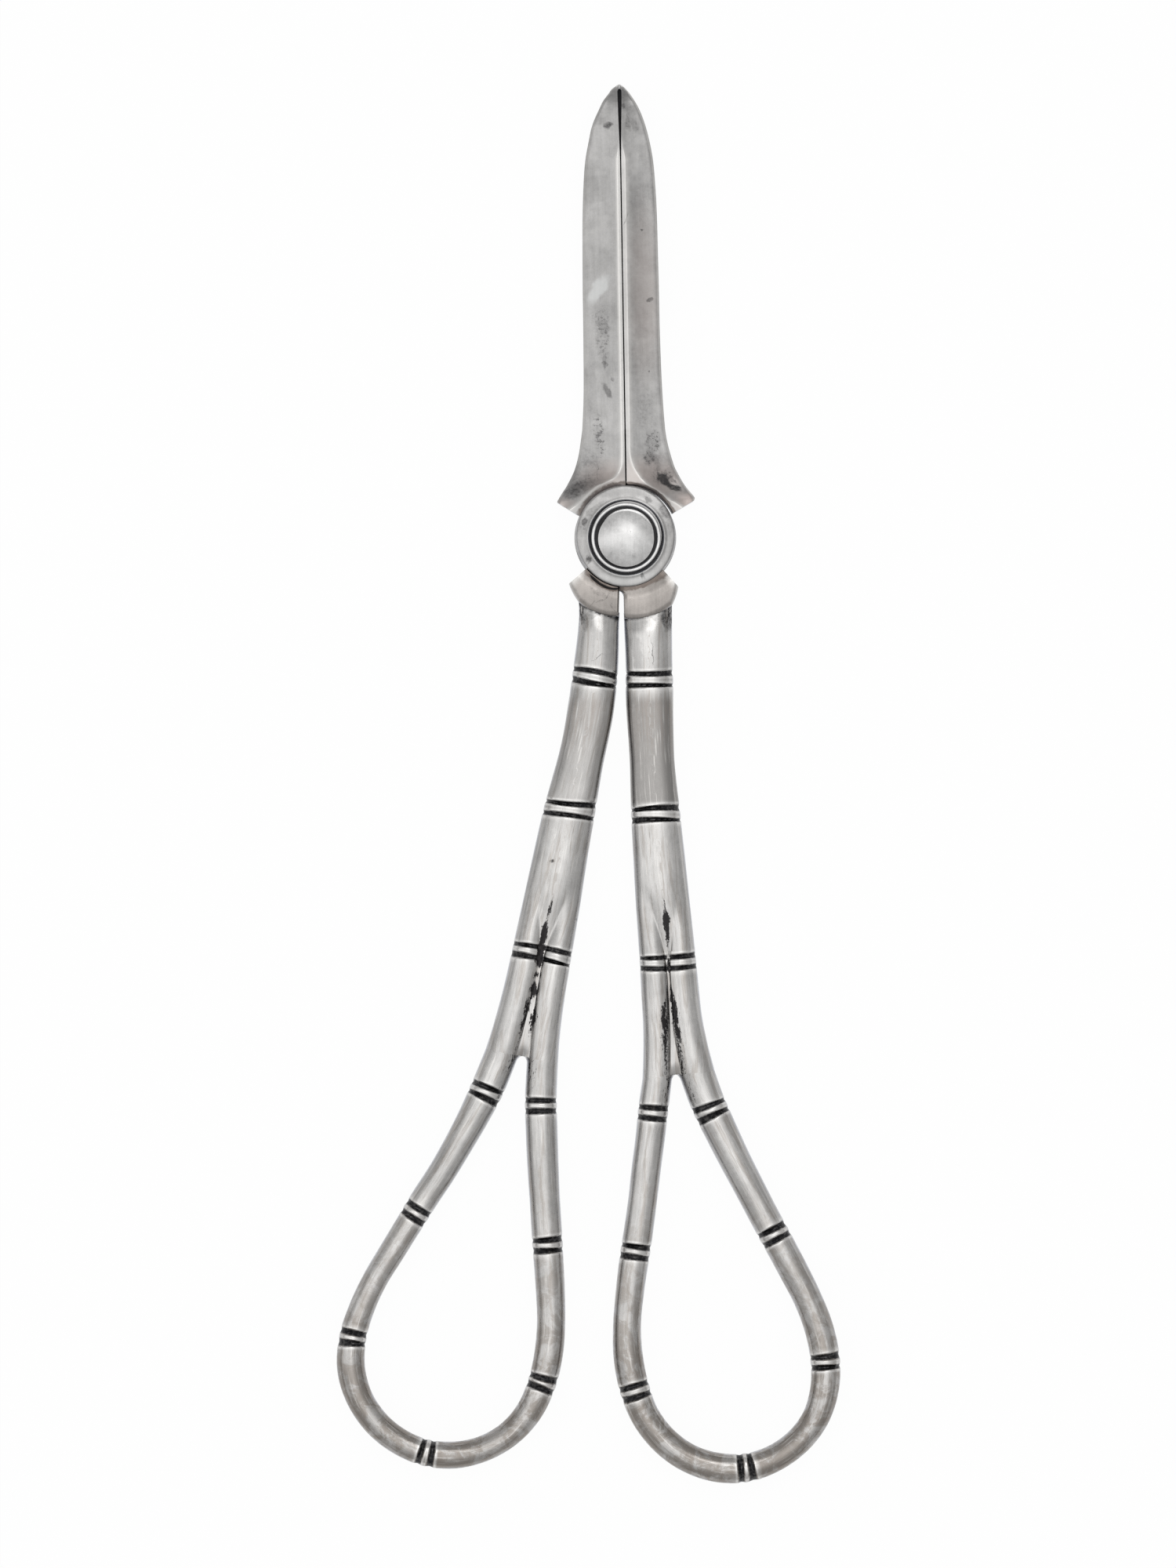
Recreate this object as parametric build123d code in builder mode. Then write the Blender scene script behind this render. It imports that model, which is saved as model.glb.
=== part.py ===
"""Grape shears with bamboo-cane handles: two arms crossing at one pivot.

The shears lie flat. +Y runs along the closed blades towards their tips, +Z points out of the
decorated face, and the origin is on the pivot axis, in the plane that the back of the hub rests on.
The front arm is the left blade and the right handle, the back arm the right blade and the left handle.
"""

import os
from math import asin, cos, degrees, radians, sin
from types import SimpleNamespace

from build123d import *

# Clearances
cut_over = 1.0                # how far a cutting tool runs past the surface that it opens
seam_gap = 0.16               # between the closed blades
lap_gap = 0.05                # between the leaves of the lap joint, and under the cup washer
journal_gap = 0.04            # radial, between the pivot post and the front leaf
solder_gap = 0.02             # between pieces that are soldered or screwed together
sweep_gap = 0.20              # between a leaf and the shoulders and bolsters that pass round it
parting_gap = 0.44            # between the two bolsters
parting_offset = 0.72         # the parting between the handles lies this far left of the seam

# Hub: two half-thickness leaves, one on the other
front_leaf_radius = 6.45
back_leaf_radius = 6.5
leaf_thickness = 2.3
leaf_margin = 1.25            # width of the sloping margin of a leaf's outer face
leaf_margin_drop = 0.22
leaf_rim_round = 0.35
seat_radius = 4.95            # counterbore in the front leaf, for the cup washer
seat_depth = 0.85

# Pivot
post_radius = 2.0
post_square = 2.8             # across the flats of the post's foot, in the back leaf
head_radius = 3.70
head_edge = 0.45              # straight edge below the dome
dome_rise = 1.25
dome_bands = 3                # turned bands that make up the dome
cup_radius = 4.55
cup_rim_width = 0.44
cup_floor = 0.30
cup_bevel = 0.15
cup_rim_height = 0.62         # above the cup's floor
screw_head_radius = 3.1
screw_head_thickness = 0.80
screw_sink = 0.15             # how far the head lies below the back face
screw_radius = 1.1
screw_reach = 2.6             # how far the thread runs up inside the post
slot_width = 0.70
slot_depth = 0.40

# Blades
blade_reach = 57.6            # pivot to tip
front_blade_width = 5.08      # left blade, seam to edge
back_blade_width = 4.60       # right blade, seam to edge
shoulder_reach = 8.85         # seam to the shoulder's point
shoulder_rise = 4.30          # pivot to the shoulder's point, along the blade
shoulder_root = 5.0           # from the pivot to where the shoulder's lower side starts in the leaf
shoulder_root_turn = 21.0     # degrees above the crosswise axis
blade_depth = 1.30            # behind the lap plane
ridge_height = 1.75           # above the lap plane
ridge_inset = 0.52            # seam to ridge
ridge_corner = 6.95           # where the ridge would turn out to the shoulder if it had no bend
ridge_bend = 6.0              # radius of that bend
ridge_foot = 3.70             # where the ridge line runs off the shoulder's point
ridge_drop = 0.24             # from the ridge to the seam
rim_reach = 3.6               # width of the slope between the ridge and the hub
rim_drop = 0.55
face_reach = 5.75             # width of the face ground down to the outer edge
face_drop = 1.35
relief_start = 38.0           # the seam starts to open here, towards the tips
relief_end = 56.5
relief_width = 0.20
ledge_width = 1.6             # of the right blade's ledge, behind the left blade
ledge_drop = 0.60             # from the lap plane to the ledge's face
ledge_side_gap = 0.20
ledge_root = 4.0
edge_width_shares = (0.07, 0.30, 0.53, 0.78, 0.93, 0.98, 1.0, 1.06)
edge_reach_shares = (1.0, 0.976, 0.944, 0.890, 0.815, 0.70, 0.43, 0.27)
flare_width_share = 0.740     # of the shoulder's reach, where its flare starts
flare_rise_share = 1.98       # of the shoulder's rise, at the same place
ledge_width_shares = (0.25, 0.72, 1.0)
ledge_reach_shares = (0.988, 0.968, 0.930)

# Bolsters, one at the top of each handle
bolster_radius = 10.4         # pivot to the bolster's lower edge
bolster_height = 2.15         # above and below the lap plane, at its crown
bolster_crown = 8.0           # pivot to the crown
bolster_seat_height = 1.75    # beside the leaves
bolster_heel_height = 1.90    # at the lower edge
bolster_bevel = 0.40
bolster_inner = 1.60          # handle axis to the inner face, before the parting
heel_out = 4.80               # handle axis to the heel
beak_along = 6.70
beak_out = 5.95               # handle axis to the beak's point
beak_root_along = 4.55
beak_root_out = 3.6

# Tangs that hold the leaves in the handles
tang_width = 2.4
tang_thickness = 1.2
tang_lift = 0.12              # from the lap plane
tang_out = 1.5                # handle axis to the tang's middle
tang_root = 5.0
tang_reach = 16.0
socket_end_gap = 0.5

# Handle stems
front_splay = 5.04            # degrees from the blades' axis to the handle's axis
back_splay = 12.36
first_node = 18.5             # pivot to each bamboo node, along the handle
second_node = 35.6
third_node = 54.6
stem_start = 9.0
stem_width = 5.75
stem_thickness = 4.3
stem_end_thickness = 2.7
stem_width_shares = (0.985, 1.005, 0.973, 1.073, 1.178, 1.26)
front_offset_shares = (0.32, 0.165, 0.046, -0.008, -0.051, -0.090)
back_offset_shares = (0.225, 0.062, 0.008, 0.043, 0.035, 0.028)

# Canes of the finger loops
cane_diameter = 3.64
inner_root_diameter = 3.90    # of each cane above its first node
outer_root_diameter = 4.20
cane_spacing = 3.40           # between the two canes at the third node
cane_root_spacing = 2.0
cane_root = 9.6               # how far the canes run up inside the stem
loop_length = 65.0            # third node to the far side of the loop's centreline
loop_half_width = 12.5
inner_along_shares = (0.170, 0.840, 1.004)
outer_along_shares = (0.222, 0.822, 0.998)
front_inner_across_shares = (-0.195, -0.987, -0.260)
front_outer_across_shares = (0.096, 1.276, 0.715)
back_inner_across_shares = (-0.150, -0.995, -0.325)
back_outer_across_shares = (0.142, 1.258, 0.672)
inner_radius_shares = (2.2, 1.22, 0.80)
outer_radius_shares = (1.6, 1.14, 0.80)
root_bend_share = 4.0
inner_node_shares = (0.344, 0.56, 0.775)
outer_node_shares = (0.343, 0.56, 0.773)

# Web between the canes, down to the crotch
front_web_reach = 14.3
back_web_reach = 13.0
web_thickness = 2.4
crotch_radius = 0.60

# Bamboo nodes: a ring between two filed grooves
groove_spacing = 1.50
groove_width = 0.80
groove_depth = 0.38
groove_over = 0.30
section_flats = 10            # flats round a stem's or cane's section

# Worked out from the sizes above
lap_z = leaf_thickness
hub_top_z = 2 * leaf_thickness
cup_z = hub_top_z - seat_depth + lap_gap
head_z = cup_z + cup_floor
dome_z = head_z + head_edge + dome_rise
dome_radius = (head_radius**2 + dome_rise**2) / (2 * dome_rise)
dome_turn = asin(head_radius / dome_radius)
dome_turns = [dome_turn * (dome_bands - band) / dome_bands for band in range(1, dome_bands + 1)]
screw_face_z = screw_sink + screw_head_thickness
front = SimpleNamespace(
    name="front",
    hand=1,
    splay=front_splay,
    blade_width=front_blade_width,
    leaf_radius=front_leaf_radius,
    offset_shares=front_offset_shares,
    inner_across_shares=front_inner_across_shares,
    outer_across_shares=front_outer_across_shares,
    web_reach=front_web_reach,
)
back = SimpleNamespace(
    name="back",
    hand=-1,
    splay=back_splay,
    blade_width=back_blade_width,
    leaf_radius=back_leaf_radius,
    offset_shares=back_offset_shares,
    inner_across_shares=back_inner_across_shares,
    outer_across_shares=back_outer_across_shares,
    web_reach=back_web_reach,
)


def handle_plane(arm):
    """The lap plane in an arm's own frame: x down the handle, y outwards, z to the arm's own leaf."""
    turn = radians(arm.splay)
    return Plane(
        origin=(0, 0, lap_z),
        x_dir=(arm.hand * sin(turn), -cos(turn), 0),
        z_dir=(0, 0, arm.hand),
    )


def across_handle(arm, along, out):
    """A plane square to an arm's handle: x outwards, y towards the arm's own leaf."""
    lap = handle_plane(arm)
    return Plane(
        origin=lap.from_local_coords((along, out, 0)),
        x_dir=lap.y_dir,
        z_dir=lap.x_dir,
    )


def other(arm):
    """The arm that crosses this one."""
    return back if arm is front else front


def own_side(arm, height):
    """The level of a height above the lap plane, on the side of the arm's own leaf."""
    return lap_z + arm.hand * height


# Blade, shoulder, leaf and tang of one arm, forged in one piece
def make_blade(arm):
    """Build an arm's blade: its plan is cut out, then its faces are ground along the ridge line."""

    def spot(out, up):
        return (-arm.hand * out, up)

    edge = [
        spot(width_share * arm.blade_width, reach_share * blade_reach)
        for width_share, reach_share in zip(edge_width_shares, edge_reach_shares)
    ]
    seam = seam_gap / 2
    shoulder = spot(shoulder_reach, shoulder_rise)
    flare = spot(flare_width_share * shoulder_reach, flare_rise_share * shoulder_rise)
    root_turn = radians(shoulder_root_turn)
    root = spot(shoulder_root * cos(root_turn), shoulder_root * sin(root_turn))
    outwards = (-arm.hand, 0, 0)
    rim = arm.leaf_radius

    with BuildPart() as blade:
        with BuildSketch(Plane.XY.offset(lap_z - blade_depth)):
            with BuildLine():
                Spline(*edge, flare, shoulder)
                Polyline(shoulder, root, spot(seam, 0), spot(seam, blade_reach), edge[0])
            make_face()
        extrude(amount=blade_depth + ridge_height)

        # The ridge runs down beside the seam and bends out to the shoulder's point
        with BuildLine(Plane.XY.offset(lap_z)) as ridge:
            FilletPolyline(
                spot(ridge_inset, blade_reach + cut_over),
                spot(ridge_inset, ridge_corner),
                spot(shoulder_reach + cut_over, ridge_foot),
                radius=ridge_bend,
            )
        with BuildSketch(Plane(origin=ridge.line @ 0, x_dir=outwards, z_dir=(0, arm.hand, 0))):
            with BuildLine():
                Polyline(
                    (0, ridge_height),
                    (-ridge_inset, ridge_height - ridge_drop),
                    (-rim_reach, ridge_height - rim_drop),
                    (-rim_reach, -blade_depth - cut_over),
                    (face_reach, -blade_depth - cut_over),
                    (face_reach, ridge_height - face_drop),
                    close=True,
                )
            make_face()
        sweep(mode=Mode.INTERSECT)

        # The seam opens a little towards the tips
        with BuildSketch(Plane.XY.offset(lap_z - ledge_drop)):
            with BuildLine():
                Polyline(
                    spot(0, relief_start),
                    spot(seam + relief_width, relief_end),
                    spot(0, relief_end + relief_width),
                    spot(0, relief_start),
                )
            make_face()
        extrude(amount=ledge_drop + ridge_height + cut_over, mode=Mode.SUBTRACT)

        if arm is back:
            # Ledge that catches the stalk behind the left blade
            ledge = [
                spot(-width_share * ledge_width, reach_share * blade_reach)
                for width_share, reach_share in zip(ledge_width_shares, ledge_reach_shares)
            ]
            with BuildSketch(Plane.XY.offset(lap_z - blade_depth)):
                with BuildLine():
                    Polyline(
                        spot(ridge_inset, ledge_root),
                        spot(-ledge_width, ledge_root),
                        *reversed(ledge),
                        spot(seam, ledge_reach_shares[0] * blade_reach),
                        spot(ridge_inset, ledge_reach_shares[-1] * blade_reach),
                        spot(ridge_inset, ledge_root),
                    )
                make_face()
            extrude(amount=blade_depth - ledge_drop)
        else:
            # Rabbet that takes the other blade's ledge
            with BuildSketch(Plane.XY.offset(lap_z - ledge_drop + lap_gap)):
                with BuildLine():
                    Polyline(
                        spot(0, 0),
                        spot(ledge_width + ledge_side_gap, 0),
                        spot(ledge_width + ledge_side_gap, blade_reach + cut_over),
                        spot(0, blade_reach + cut_over),
                        spot(0, 0),
                    )
                make_face()
            extrude(amount=-blade_depth, mode=Mode.SUBTRACT)

        # Seat for the other arm's leaf
        with BuildSketch(Plane.XY.offset(own_side(arm, lap_gap / 2))):
            Circle(other(arm).leaf_radius + sweep_gap)
        extrude(amount=-arm.hand * (ridge_height + cut_over), mode=Mode.SUBTRACT)

        # Leaf of the lap joint
        with BuildSketch(Plane.XZ):
            with BuildLine():
                Polyline(
                    (0, own_side(arm, lap_gap / 2)),
                    (rim, own_side(arm, lap_gap / 2)),
                    (rim, own_side(arm, leaf_thickness - leaf_margin_drop - leaf_rim_round)),
                    (rim - leaf_rim_round, own_side(arm, leaf_thickness - leaf_margin_drop)),
                    (rim - leaf_margin, own_side(arm, leaf_thickness)),
                    (0, own_side(arm, leaf_thickness)),
                    (0, own_side(arm, lap_gap / 2)),
                )
            make_face()
        revolve(axis=Axis.Z)

        # Tang
        with BuildSketch(handle_plane(arm).offset(tang_lift)):
            with Locations(((tang_root + tang_reach) / 2, tang_out)):
                Rectangle(tang_reach - tang_root, tang_width)
        extrude(amount=tang_thickness)

        if arm is front:
            with Locations((0, 0, hub_top_z)):
                CounterBoreHole(post_radius + journal_gap, seat_radius, seat_depth)
        else:
            with Locations(Location((0, 0, 0), (180, 0, 0))):
                Hole(screw_head_radius + solder_gap, depth=screw_face_z)
            with BuildSketch():
                Rectangle(post_square + 2 * solder_gap, post_square + 2 * solder_gap)
            extrude(amount=hub_top_z, mode=Mode.SUBTRACT)
    return blade.part


def make_socket(arm, reach):
    """What the socket for an arm's tang takes out, from the pivot to a distance along the handle."""
    with BuildPart() as tool:
        with BuildSketch(handle_plane(arm).offset(tang_lift - solder_gap)):
            with Locations((reach / 2, tang_out)):
                Rectangle(reach, tang_width + 2 * solder_gap)
        extrude(amount=tang_thickness + 2 * solder_gap)
    return tool.part


def make_parting(arm):
    """What is cut away from the top of an arm's handle, beyond the parting between the two arms."""
    with BuildPart() as tool:
        with BuildSketch():
            middle = -parting_offset + arm.hand * (parting_gap - bolster_radius) / 2
            with Locations((middle, -first_node / 2)):
                Rectangle(bolster_radius, first_node)
        extrude(amount=hub_top_z)
    return tool.part


# Bolster: the beaked pad between hub and handle
def make_bolster(arm):
    """Build an arm's bolster, seated against its own leaf and clear of the other one."""
    inner_turn = degrees(asin(bolster_inner / bolster_radius))
    heel_turn = degrees(asin(heel_out / bolster_radius))
    tang_socket = make_socket(arm, bolster_radius + cut_over)
    parting = make_parting(arm)

    with BuildPart() as bolster:
        with BuildSketch(handle_plane(arm)):
            with BuildLine():
                lower = CenterArc((0, 0), bolster_radius, -inner_turn, inner_turn + heel_turn)
                Polyline(
                    lower @ 1,
                    (beak_along, beak_out),
                    (beak_root_along, beak_root_out),
                    (beak_root_along, -bolster_inner),
                    lower @ 0,
                )
            make_face()
        extrude(amount=bolster_height, both=True)

        # Crowned on both faces, in a ring round the pivot
        with BuildSketch(Plane.XZ):
            with BuildLine():
                Polyline(
                    (0, own_side(arm, -bolster_seat_height)),
                    (arm.leaf_radius, own_side(arm, -bolster_seat_height)),
                    (bolster_crown, own_side(arm, -bolster_height)),
                    (bolster_radius - bolster_bevel, own_side(arm, -bolster_heel_height)),
                    (bolster_radius, own_side(arm, -bolster_heel_height + bolster_bevel)),
                    (bolster_radius, own_side(arm, bolster_heel_height - bolster_bevel)),
                    (bolster_radius - bolster_bevel, own_side(arm, bolster_heel_height)),
                    (bolster_crown, own_side(arm, bolster_height)),
                    (arm.leaf_radius, own_side(arm, bolster_seat_height)),
                    (0, own_side(arm, bolster_seat_height)),
                    close=True,
                )
            make_face()
        revolve(axis=Axis.Z, mode=Mode.INTERSECT)

        # Seats round the two leaves
        with BuildSketch(handle_plane(arm)):
            Circle(arm.leaf_radius + solder_gap)
        extrude(amount=bolster_height + cut_over, mode=Mode.SUBTRACT)
        with BuildSketch(handle_plane(arm).offset(lap_gap / 2)):
            Circle(other(arm).leaf_radius + sweep_gap)
        extrude(amount=-bolster_height - cut_over, mode=Mode.SUBTRACT)

        add([tang_socket, parting], mode=Mode.SUBTRACT)
    return bolster.part


# Handle: a flat stem that parts into two canes, bent round to make the finger loop
def oval(half_width, half_thickness):
    """The section of a cane or a stem: an oval with narrow planished flats."""
    turns = [radians(360 / section_flats * index) for index in range(section_flats)]
    return [(half_width * cos(turn), half_thickness * sin(turn)) for turn in turns]


def make_groove(plane, *bars):
    """A V-shaped groove's cut round bars side by side, each a place, a half width and a half thickness."""
    reach = groove_width / 2 * (groove_depth + groove_over) / groove_depth
    clear = 2 * groove_over
    with BuildPart() as ring:
        with BuildSketch(plane.offset(-reach)):
            for out, half_width, half_thickness in bars:
                with Locations((out, 0)):
                    Polygon(*oval(half_width + clear, half_thickness + clear), align=None)
        extrude(amount=2 * reach)
        for out, half_width, half_thickness in bars:
            for place, growth in ((-reach, groove_over), (0, -groove_depth), (reach, groove_over)):
                with BuildSketch(plane.offset(place)):
                    with Locations((out, 0)):
                        Polygon(*oval(half_width + growth, half_thickness + growth), align=None)
            loft(ruled=True, mode=Mode.SUBTRACT)
        if len(bars) > 1:
            with BuildSketch(plane.offset(-reach)):
                Rectangle(cane_spacing, web_thickness - groove_depth)
            extrude(amount=2 * reach, mode=Mode.SUBTRACT)
    return ring.part


def across_cane(route, share):
    """A plane square to a cane, at a share of its centreline's length: y is upwards."""
    along = route % share
    return Plane(origin=route @ share, x_dir=(-along.Y, along.X, 0), z_dir=along)


def stem_width_at(index):
    """The stem's width at one of its stations."""
    return stem_width * stem_width_shares[index]


def stem_out_at(arm, index):
    """The stem's middle at one of its stations, outwards from the handle's axis."""
    return stem_width * arm.offset_shares[index]


def cane_corners(along_shares, across_shares):
    """The corners that a cane is bent round, in the handle's own frame."""
    return [
        (third_node + along_share * loop_length, across_share * loop_half_width)
        for along_share, across_share in zip(along_shares, across_shares)
    ]


def cane_routes(arm):
    """The centrelines of the inner and the outer cane, from their roots to where they meet."""
    middle = stem_out_at(arm, -1)
    inner = cane_corners(inner_along_shares, arm.inner_across_shares)
    outer = cane_corners(outer_along_shares, arm.outer_across_shares)
    far_side = ((inner[-1][0] + outer[-1][0]) / 2, (inner[-1][1] + outer[-1][1]) / 2)
    routes = []
    for side, bends, radius_shares in ((-1, inner, inner_radius_shares), (1, outer, outer_radius_shares)):
        with BuildLine(handle_plane(arm)) as route:
            FilletPolyline(
                (third_node - cane_root, middle + side * cane_root_spacing / 2),
                (third_node, middle + side * cane_spacing / 2),
                *bends,
                far_side,
                radius=[share * loop_half_width for share in (root_bend_share, *radius_shares)],
            )
        routes.append(route.wires()[0])
    return routes


def make_handle(arm):
    """Build an arm's handle with its bamboo nodes, its web and the socket for the tang."""
    stations = (
        stem_start,
        first_node,
        (first_node + second_node) / 2,
        second_node,
        (second_node + third_node) / 2,
        third_node,
    )
    thicknesses = [stem_thickness] * (len(stations) - 1) + [stem_end_thickness]
    canes = cane_routes(arm)

    shift = groove_spacing / 2
    half = cane_diameter / 2
    root_halves = (inner_root_diameter / 2, outer_root_diameter / 2)
    grooves = []
    for station, index in ((first_node, 1), (second_node, 3)):
        for place in (station - shift, station + shift):
            plane = across_handle(arm, place, stem_out_at(arm, index))
            grooves.append(make_groove(plane, (0, stem_width_at(index) / 2, stem_thickness / 2)))
    for place in (third_node - shift, third_node + shift):
        plane = across_handle(arm, place, stem_out_at(arm, -1))
        bars = [(side * cane_spacing / 2, bar, bar) for side, bar in zip((-1, 1), root_halves)]
        grooves.append(make_groove(plane, *bars))
    root_canes = []
    for route, root_half, shares in zip(canes, root_halves, (inner_node_shares, outer_node_shares)):
        step = shift / route.length
        root_canes.append(route.trim(0, shares[0] + step))
        grooves.append(make_groove(across_cane(route, shares[0] - step), (0, root_half, root_half)))
        loop_places = [place for share in shares for place in (share - step, share + step)][1:]
        for place in (*loop_places, 1 - step):
            grooves.append(make_groove(across_cane(route, place), (0, half, half)))
    tang_socket = make_socket(arm, tang_reach + socket_end_gap)
    parting = make_parting(arm)

    with BuildPart() as handle:
        for index, (station, thickness) in enumerate(zip(stations, thicknesses)):
            with BuildSketch(across_handle(arm, station, stem_out_at(arm, index))):
                Polygon(*oval(stem_width_at(index) / 2, thickness / 2), align=None)
        loft(ruled=True)

        for route, bar in zip((*root_canes, *canes), (*root_halves, half, half)):
            with BuildSketch(across_cane(route, 0)):
                Polygon(*oval(bar, bar), align=None)
            sweep(path=route)

        # Web, with a round end at the crotch
        crotch = third_node + arm.web_reach + crotch_radius
        middle = stem_out_at(arm, -1)
        with BuildSketch(handle_plane(arm)):
            with BuildLine():
                Polyline(
                    (third_node - cane_root, middle - cane_root_spacing / 2),
                    (third_node, middle - cane_spacing / 2),
                    (crotch, middle - cane_spacing / 2),
                    (crotch, middle + cane_spacing / 2),
                    (third_node, middle + cane_spacing / 2),
                    (third_node - cane_root, middle + cane_root_spacing / 2),
                    close=True,
                )
            make_face()
            with Locations((crotch, middle)):
                Circle(crotch_radius, mode=Mode.SUBTRACT)
        extrude(amount=web_thickness / 2, both=True)

        # The bolster's lower edge and the tang's socket
        with BuildSketch(handle_plane(arm)):
            Circle(bolster_radius + solder_gap)
        extrude(amount=stem_thickness, both=True, mode=Mode.SUBTRACT)
        add([tang_socket, parting, *grooves], mode=Mode.SUBTRACT)
    return handle.part


# Pivot stud: domed head, journal, square foot and a tapped hole
with BuildPart() as pivot_stud:
    with BuildSketch(Plane.XZ):
        with BuildLine():
            Polyline(
                (0, lap_z),
                (post_radius, lap_z),
                (post_radius, head_z),
                (head_radius, head_z),
                (head_radius, head_z + head_edge),
                *[(dome_radius * sin(turn), dome_z - dome_radius * (1 - cos(turn))) for turn in dome_turns],
                (0, lap_z),
            )
        make_face()
    revolve(axis=Axis.Z)
    with BuildSketch(Plane.XY.offset(screw_face_z)):
        Rectangle(post_square, post_square)
    extrude(amount=lap_z - screw_face_z)
    with Locations(Location((0, 0, screw_face_z), (180, 0, 0))):
        Hole(screw_radius + solder_gap, depth=screw_reach + cut_over)
pivot_stud.part.label = "pivot_stud"

# Cup washer that the stud's head sits in
with BuildPart() as cup_washer:
    with BuildSketch(Plane.XY.offset(cup_z)):
        Circle(cup_radius)
    extrude(amount=cup_floor + cup_rim_height)
    with BuildSketch(Plane.XY.offset(head_z)):
        Circle(cup_radius - cup_rim_width)
    extrude(amount=cup_rim_height, mode=Mode.SUBTRACT)
    with Locations((0, 0, head_z)):
        Hole(post_radius + solder_gap, depth=cup_floor)
    chamfer(cup_washer.edges().group_by(Axis.Z)[-1].sort_by(SortBy.RADIUS)[-1], cup_bevel)
cup_washer.part.label = "cup_washer"

# Slotted screw in the back leaf
with BuildPart() as pivot_screw:
    with BuildSketch(Plane.XY.offset(screw_sink)):
        Circle(screw_head_radius)
    extrude(amount=screw_head_thickness)
    with BuildSketch(Plane.XY.offset(screw_face_z)):
        Circle(screw_radius)
    extrude(amount=screw_reach)
    with BuildSketch(Plane.XY.offset(screw_sink)):
        Rectangle(2 * screw_head_radius + cut_over, slot_width)
    extrude(amount=slot_depth, mode=Mode.SUBTRACT)
pivot_screw.part.label = "pivot_screw"

pieces = {"pivot_stud": pivot_stud.part, "cup_washer": cup_washer.part, "pivot_screw": pivot_screw.part}
for arm in (front, back):
    pieces[arm.name + "_blade"] = make_blade(arm)
    pieces[arm.name + "_bolster"] = make_bolster(arm)
    pieces[arm.name + "_handle"] = make_handle(arm)

os.makedirs("parts", exist_ok=True)
for name, piece in pieces.items():
    piece.label = name
    export_step(piece, "parts/" + name + ".step")
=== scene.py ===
"""Grape shears with bamboo-cane handles, worn silver, lying flat on a pale floor under soft studio light."""

import bmesh
import bpy
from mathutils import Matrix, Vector
from math import acos, cos, degrees, exp, hypot, pi, radians, sin, sqrt


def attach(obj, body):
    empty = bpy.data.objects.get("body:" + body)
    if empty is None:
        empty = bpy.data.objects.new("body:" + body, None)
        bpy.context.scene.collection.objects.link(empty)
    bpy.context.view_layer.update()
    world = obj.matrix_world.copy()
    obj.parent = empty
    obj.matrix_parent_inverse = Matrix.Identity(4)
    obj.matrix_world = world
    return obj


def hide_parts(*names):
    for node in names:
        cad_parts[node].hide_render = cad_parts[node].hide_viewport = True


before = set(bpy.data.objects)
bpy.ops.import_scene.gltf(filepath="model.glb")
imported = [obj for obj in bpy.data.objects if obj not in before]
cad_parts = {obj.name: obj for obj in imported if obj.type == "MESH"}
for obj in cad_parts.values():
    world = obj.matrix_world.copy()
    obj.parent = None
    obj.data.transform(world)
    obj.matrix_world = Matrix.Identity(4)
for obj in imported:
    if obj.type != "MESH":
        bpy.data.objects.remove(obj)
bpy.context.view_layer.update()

MM = 0.001  # shapes are worked out in millimetres
LAP = 2.3  # height of the plane where the two arms lap
LAP_STEP = 0.03
TURN_STEPS = 128
MERGE = 1e-6  # points closer than this are one, in metres
STILL = (0, 0, 0)


def lerp(a, b, t):
    return a + (b - a) * t


def between(a, b, t):
    """A point on the way from a to b."""
    return lerp(a[0], b[0], t), lerp(a[1], b[1], t)


def apart(a, b):
    return hypot(b[0] - a[0], b[1] - a[1])


def polar(turn, reach):
    """A point at an angle in degrees."""
    return reach * cos(radians(turn)), reach * sin(radians(turn))


def ease(low, high, x):
    """Smoothly from 0 to 1, between low and high."""
    t = min(1, max(0, (x - low) / (high - low)))
    return t * t * (3 - 2 * t)


def bell(x, wide):
    """One at zero, next to nothing past twice the width."""
    return exp(-((x / wide) ** 2))


def quarter(x):
    """The height of a quarter circle that rises from 0 to 1."""
    return sqrt(1 - (1 - min(1, max(0, x))) ** 2)


def curve(knots):
    """A smooth run of values through knots of (place, value, value ...)."""
    last = len(knots) - 1

    def rise(i, k):
        return (knots[i + 1][k] - knots[i][k]) / (knots[i + 1][0] - knots[i][0])

    def slope(i, k):
        if i in (0, last):
            return rise(min(i, last - 1), k)
        before, after = knots[i][0] - knots[i - 1][0], knots[i + 1][0] - knots[i][0]
        return (rise(i - 1, k) * after + rise(i, k) * before) / (knots[i + 1][0] - knots[i - 1][0])

    def at(x):
        x = min(max(x, knots[0][0]), knots[-1][0])
        i = 0
        while i < last - 1 and x > knots[i + 1][0]:
            i += 1
        wide = knots[i + 1][0] - knots[i][0]
        t = (x - knots[i][0]) / wide
        values = []
        for k in range(1, len(knots[0])):
            m, n = slope(i, k) * wide, slope(i + 1, k) * wide
            ends = knots[i][k] * (2 * t**3 - 3 * t**2 + 1) + knots[i + 1][k] * (3 * t**2 - 2 * t**3)
            values.append(ends + m * (t**3 - 2 * t**2 + t) + n * (t**3 - t**2))
        return values if len(values) > 1 else values[0]

    return at


def place_object(name, data):
    thing = bpy.data.objects.new(name, data)
    bpy.context.scene.collection.objects.link(thing)
    return thing


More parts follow.
